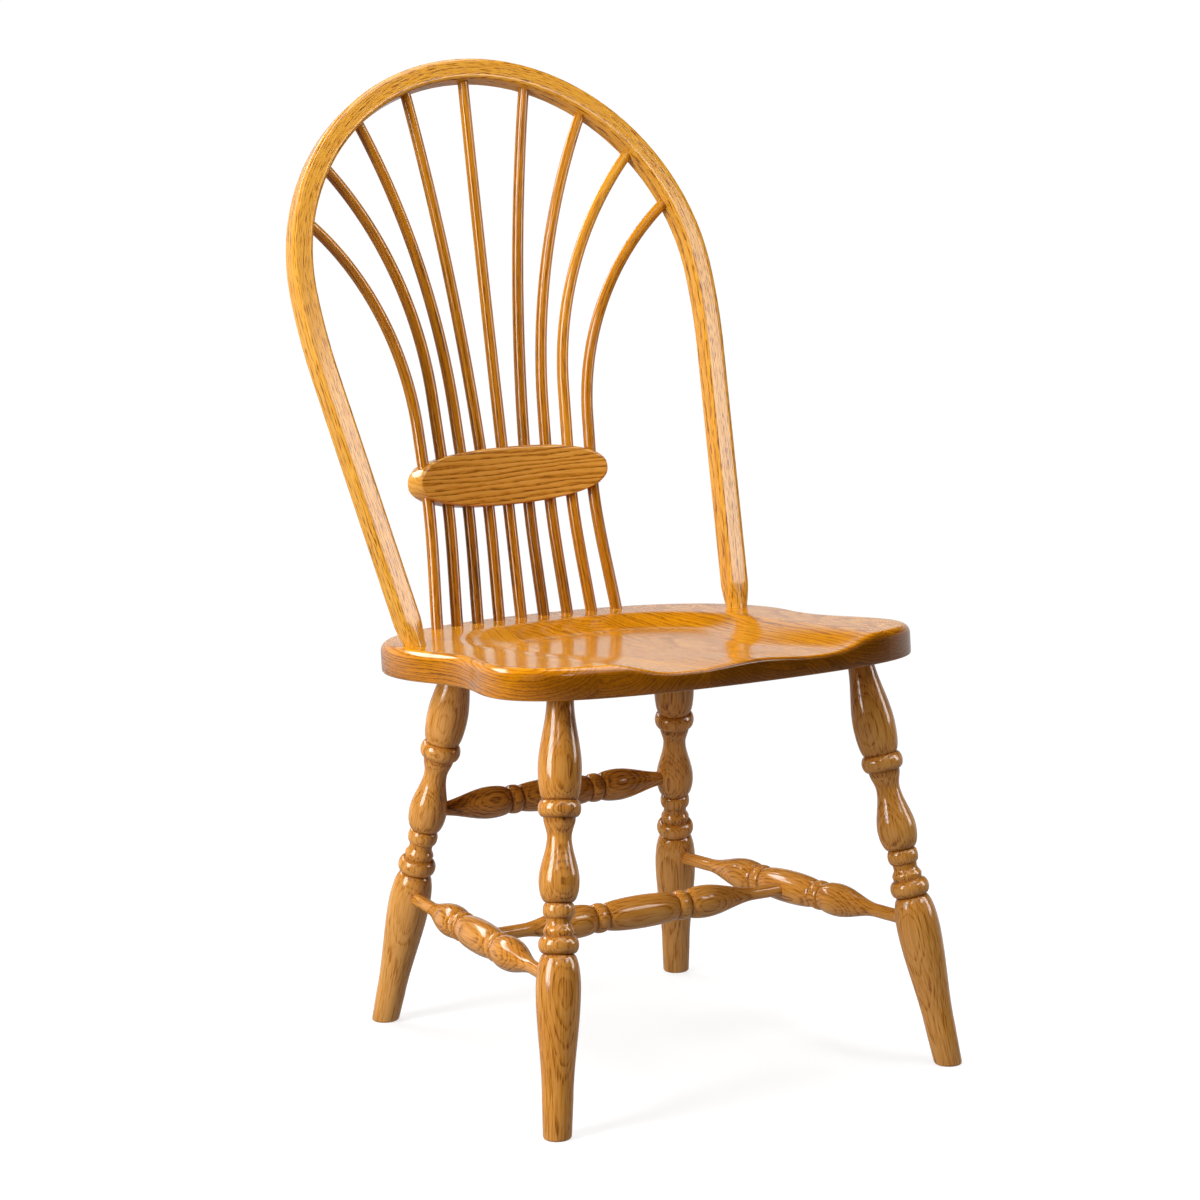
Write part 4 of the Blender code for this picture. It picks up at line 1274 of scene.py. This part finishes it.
class CHAIR_OT_stage(bpy.types.Operator):
    """Set up the pale floor, the soft lights and the camera"""

    bl_idname = "chair.stage"
    bl_label = "Stage"

    def execute(self, context):
        stage = sizes("stage")
        scene = context.scene
        circle = bpy.ops.mesh.primitive_circle_add
        floor = begin("studio_floor", circle, vertices=128, radius=FLOOR_RADIUS, fill_type="NGON")
        bpy.ops.mesh.select_mode(type="EDGE")
        select_whole()
        bpy.ops.mesh.extrude_edges_move(TRANSFORM_OT_translate={"value": (0, 0, FLOOR_RADIUS)})
        set_mode("OBJECT")
        floor.data.materials.append(self.floor_paint(stage))
        floor.visible_diffuse = False
        floor.visible_glossy = False
        floor.visible_shadow = False
        self.light_room(scene)
        self.hang_lights(context)
        self.aim_camera(scene, stage)
        scene.view_settings.view_transform = "Standard"
        return {"FINISHED"}

    def hang_lights(self, context):
        """Softboxes. The key light's mirror image is kept off the flat pieces that it would wash out."""
        turned = bpy.data.collections.new("pieces_with_key_sheen")
        flat = bpy.data.collections.new("pieces_without_key_sheen")
        for piece in context.scene.objects:
            if piece.name.startswith(KEY_SHEEN_ON):
                turned.objects.link(piece)
            elif piece.name.startswith(KEY_MATT_ON):
                flat.objects.link(piece)
        lit = {"turned": turned, "sheen": turned, "flat": flat}
        for name, place, size, power, use in SOFTBOXES:
            bpy.ops.object.light_add(type="AREA", location=place)
            light = context.object
            rename(light, name)
            light.data.shape = "RECTANGLE"
            light.data.size, light.data.size_y = size
            light.data.energy = power
            light.visible_glossy = use != "flat"
            light.visible_diffuse = use not in ("sheen", "mirror")
            if use in lit:
                light.light_linking.receiver_collection = lit[use]
            light.rotation_euler = (LIGHTS_AIM - Vector(place)).to_track_quat("-Z", "Y").to_euler()

    def floor_paint(self, stage):
        """Pale paint that takes the chair's shadow, lit evenly white further out."""
        material = bpy.data.materials.new("studio_floor")
        material.use_nodes = True
        tree = material.node_tree
        paint = Wire(tree)
        place = paint.add("ShaderNodeTexCoord", {}, {}, "Object")
        reach = paint.add("ShaderNodeVectorMath", {"operation": "LENGTH"}, {0: place}, "Value")
        far = reach.step(*FLOOR_FADE)
        shader = tree.nodes["Principled BSDF"]
        for socket, near_colour, far_colour in (
            ("Base Color", (*stage.floor, 1), (0, 0, 0, 1)),
            ("Emission Color", FLOOR_GLOW, FLOOR_WHITE),
        ):
            ends = {0: far, 6: near_colour, 7: far_colour}
            mixed = paint.add("ShaderNodeMix", {"data_type": "RGBA"}, ends, 2)
            tree.links.new(mixed.socket, shader.inputs[socket])
        shader.inputs["Roughness"].default_value = 0.9
        shader.inputs["Specular IOR Level"].default_value = 0.0
        shader.inputs["Emission Strength"].default_value = 1.0
        return material

    def light_room(self, scene):
        """A dim room with a white sweep behind the chair."""
        world = bpy.data.worlds.new("studio_room")
        world.use_nodes = True
        tree = world.node_tree
        room = Wire(tree)
        place = room.add("ShaderNodeTexCoord", {}, {}, "Generated")
        up = room.add("ShaderNodeSeparateXYZ", {}, {"Vector": place}, "Z")
        ahead = {0: place, 1: SWEEP_AHEAD}
        back = room.add("ShaderNodeVectorMath", {"operation": "DOT_PRODUCT"}, ahead, "Value")
        sweep = back.step(*SWEEP_EDGES) * (1 - up.step(*SWEEP_TOP)) * up.step(*SWEEP_FOOT)
        ground = 1 - up.step(*GROUND_TOP)
        glow = ROOM_GLOW + sweep * SWEEP_GLOW + ground * GROUND_GLOW
        background = tree.nodes["Background"]
        tree.links.new(glow.socket, background.inputs["Color"])
        scene.world = world

    def aim_camera(self, scene, stage):
        camera = bpy.data.objects.new("camera", bpy.data.cameras.new("camera"))
        scene.collection.objects.link(camera)
        camera.data.sensor_width = 36.0
        camera.data.lens = stage.lens
        camera.data.clip_end = 500.0
        place = Matrix.Translation((stage.camera_x, stage.camera_y, stage.camera_z))
        turn = Matrix.Rotation(stage.azimuth, 4, "Z") @ Matrix.Rotation(pi / 2 - stage.dip, 4, "X")
        camera.matrix_world = place @ turn @ Matrix.Rotation(stage.roll, 4, "Z")
        scene.camera = camera


class CHAIR_PT_panel(bpy.types.Panel):
    """Lists the steps of the build and their sizes"""

    bl_idname = "CHAIR_PT_panel"
    bl_label = "Windsor Chair"
    bl_space_type = "VIEW_3D"
    bl_region_type = "UI"
    bl_category = "Chair"

    def draw(self, context):
        layout = self.layout
        for step in STEPS:
            layout.operator(step.bl_idname)
        for group, kind in SIZES.items():
            box = layout.box()
            box.label(text=group.title())
            for name in kind.__annotations__:
                box.prop(sizes(group), name)


STEPS = (
    CHAIR_OT_seat,
    CHAIR_OT_legs,
    CHAIR_OT_stretchers,
    CHAIR_OT_bow,
    CHAIR_OT_block,
    CHAIR_OT_spindles,
    CHAIR_OT_stage,
)
CLASSES = (*SIZES.values(), *STEPS, CHAIR_PT_panel)


def register():
    for kind in CLASSES:
        bpy.utils.register_class(kind)
    for group, kind in SIZES.items():
        setattr(bpy.types.Scene, "chair_" + group, PointerProperty(type=kind))


def unregister():
    for group in SIZES:
        delattr(bpy.types.Scene, "chair_" + group)
    for kind in reversed(CLASSES):
        bpy.utils.unregister_class(kind)


def main():
    register()
    bpy.ops.chair.seat()
    bpy.ops.chair.legs()
    bpy.ops.chair.stretchers()
    bpy.ops.chair.bow()
    bpy.ops.chair.block()
    bpy.ops.chair.spindles()
    bpy.ops.chair.stage()


if __name__ == "__main__":
    main()
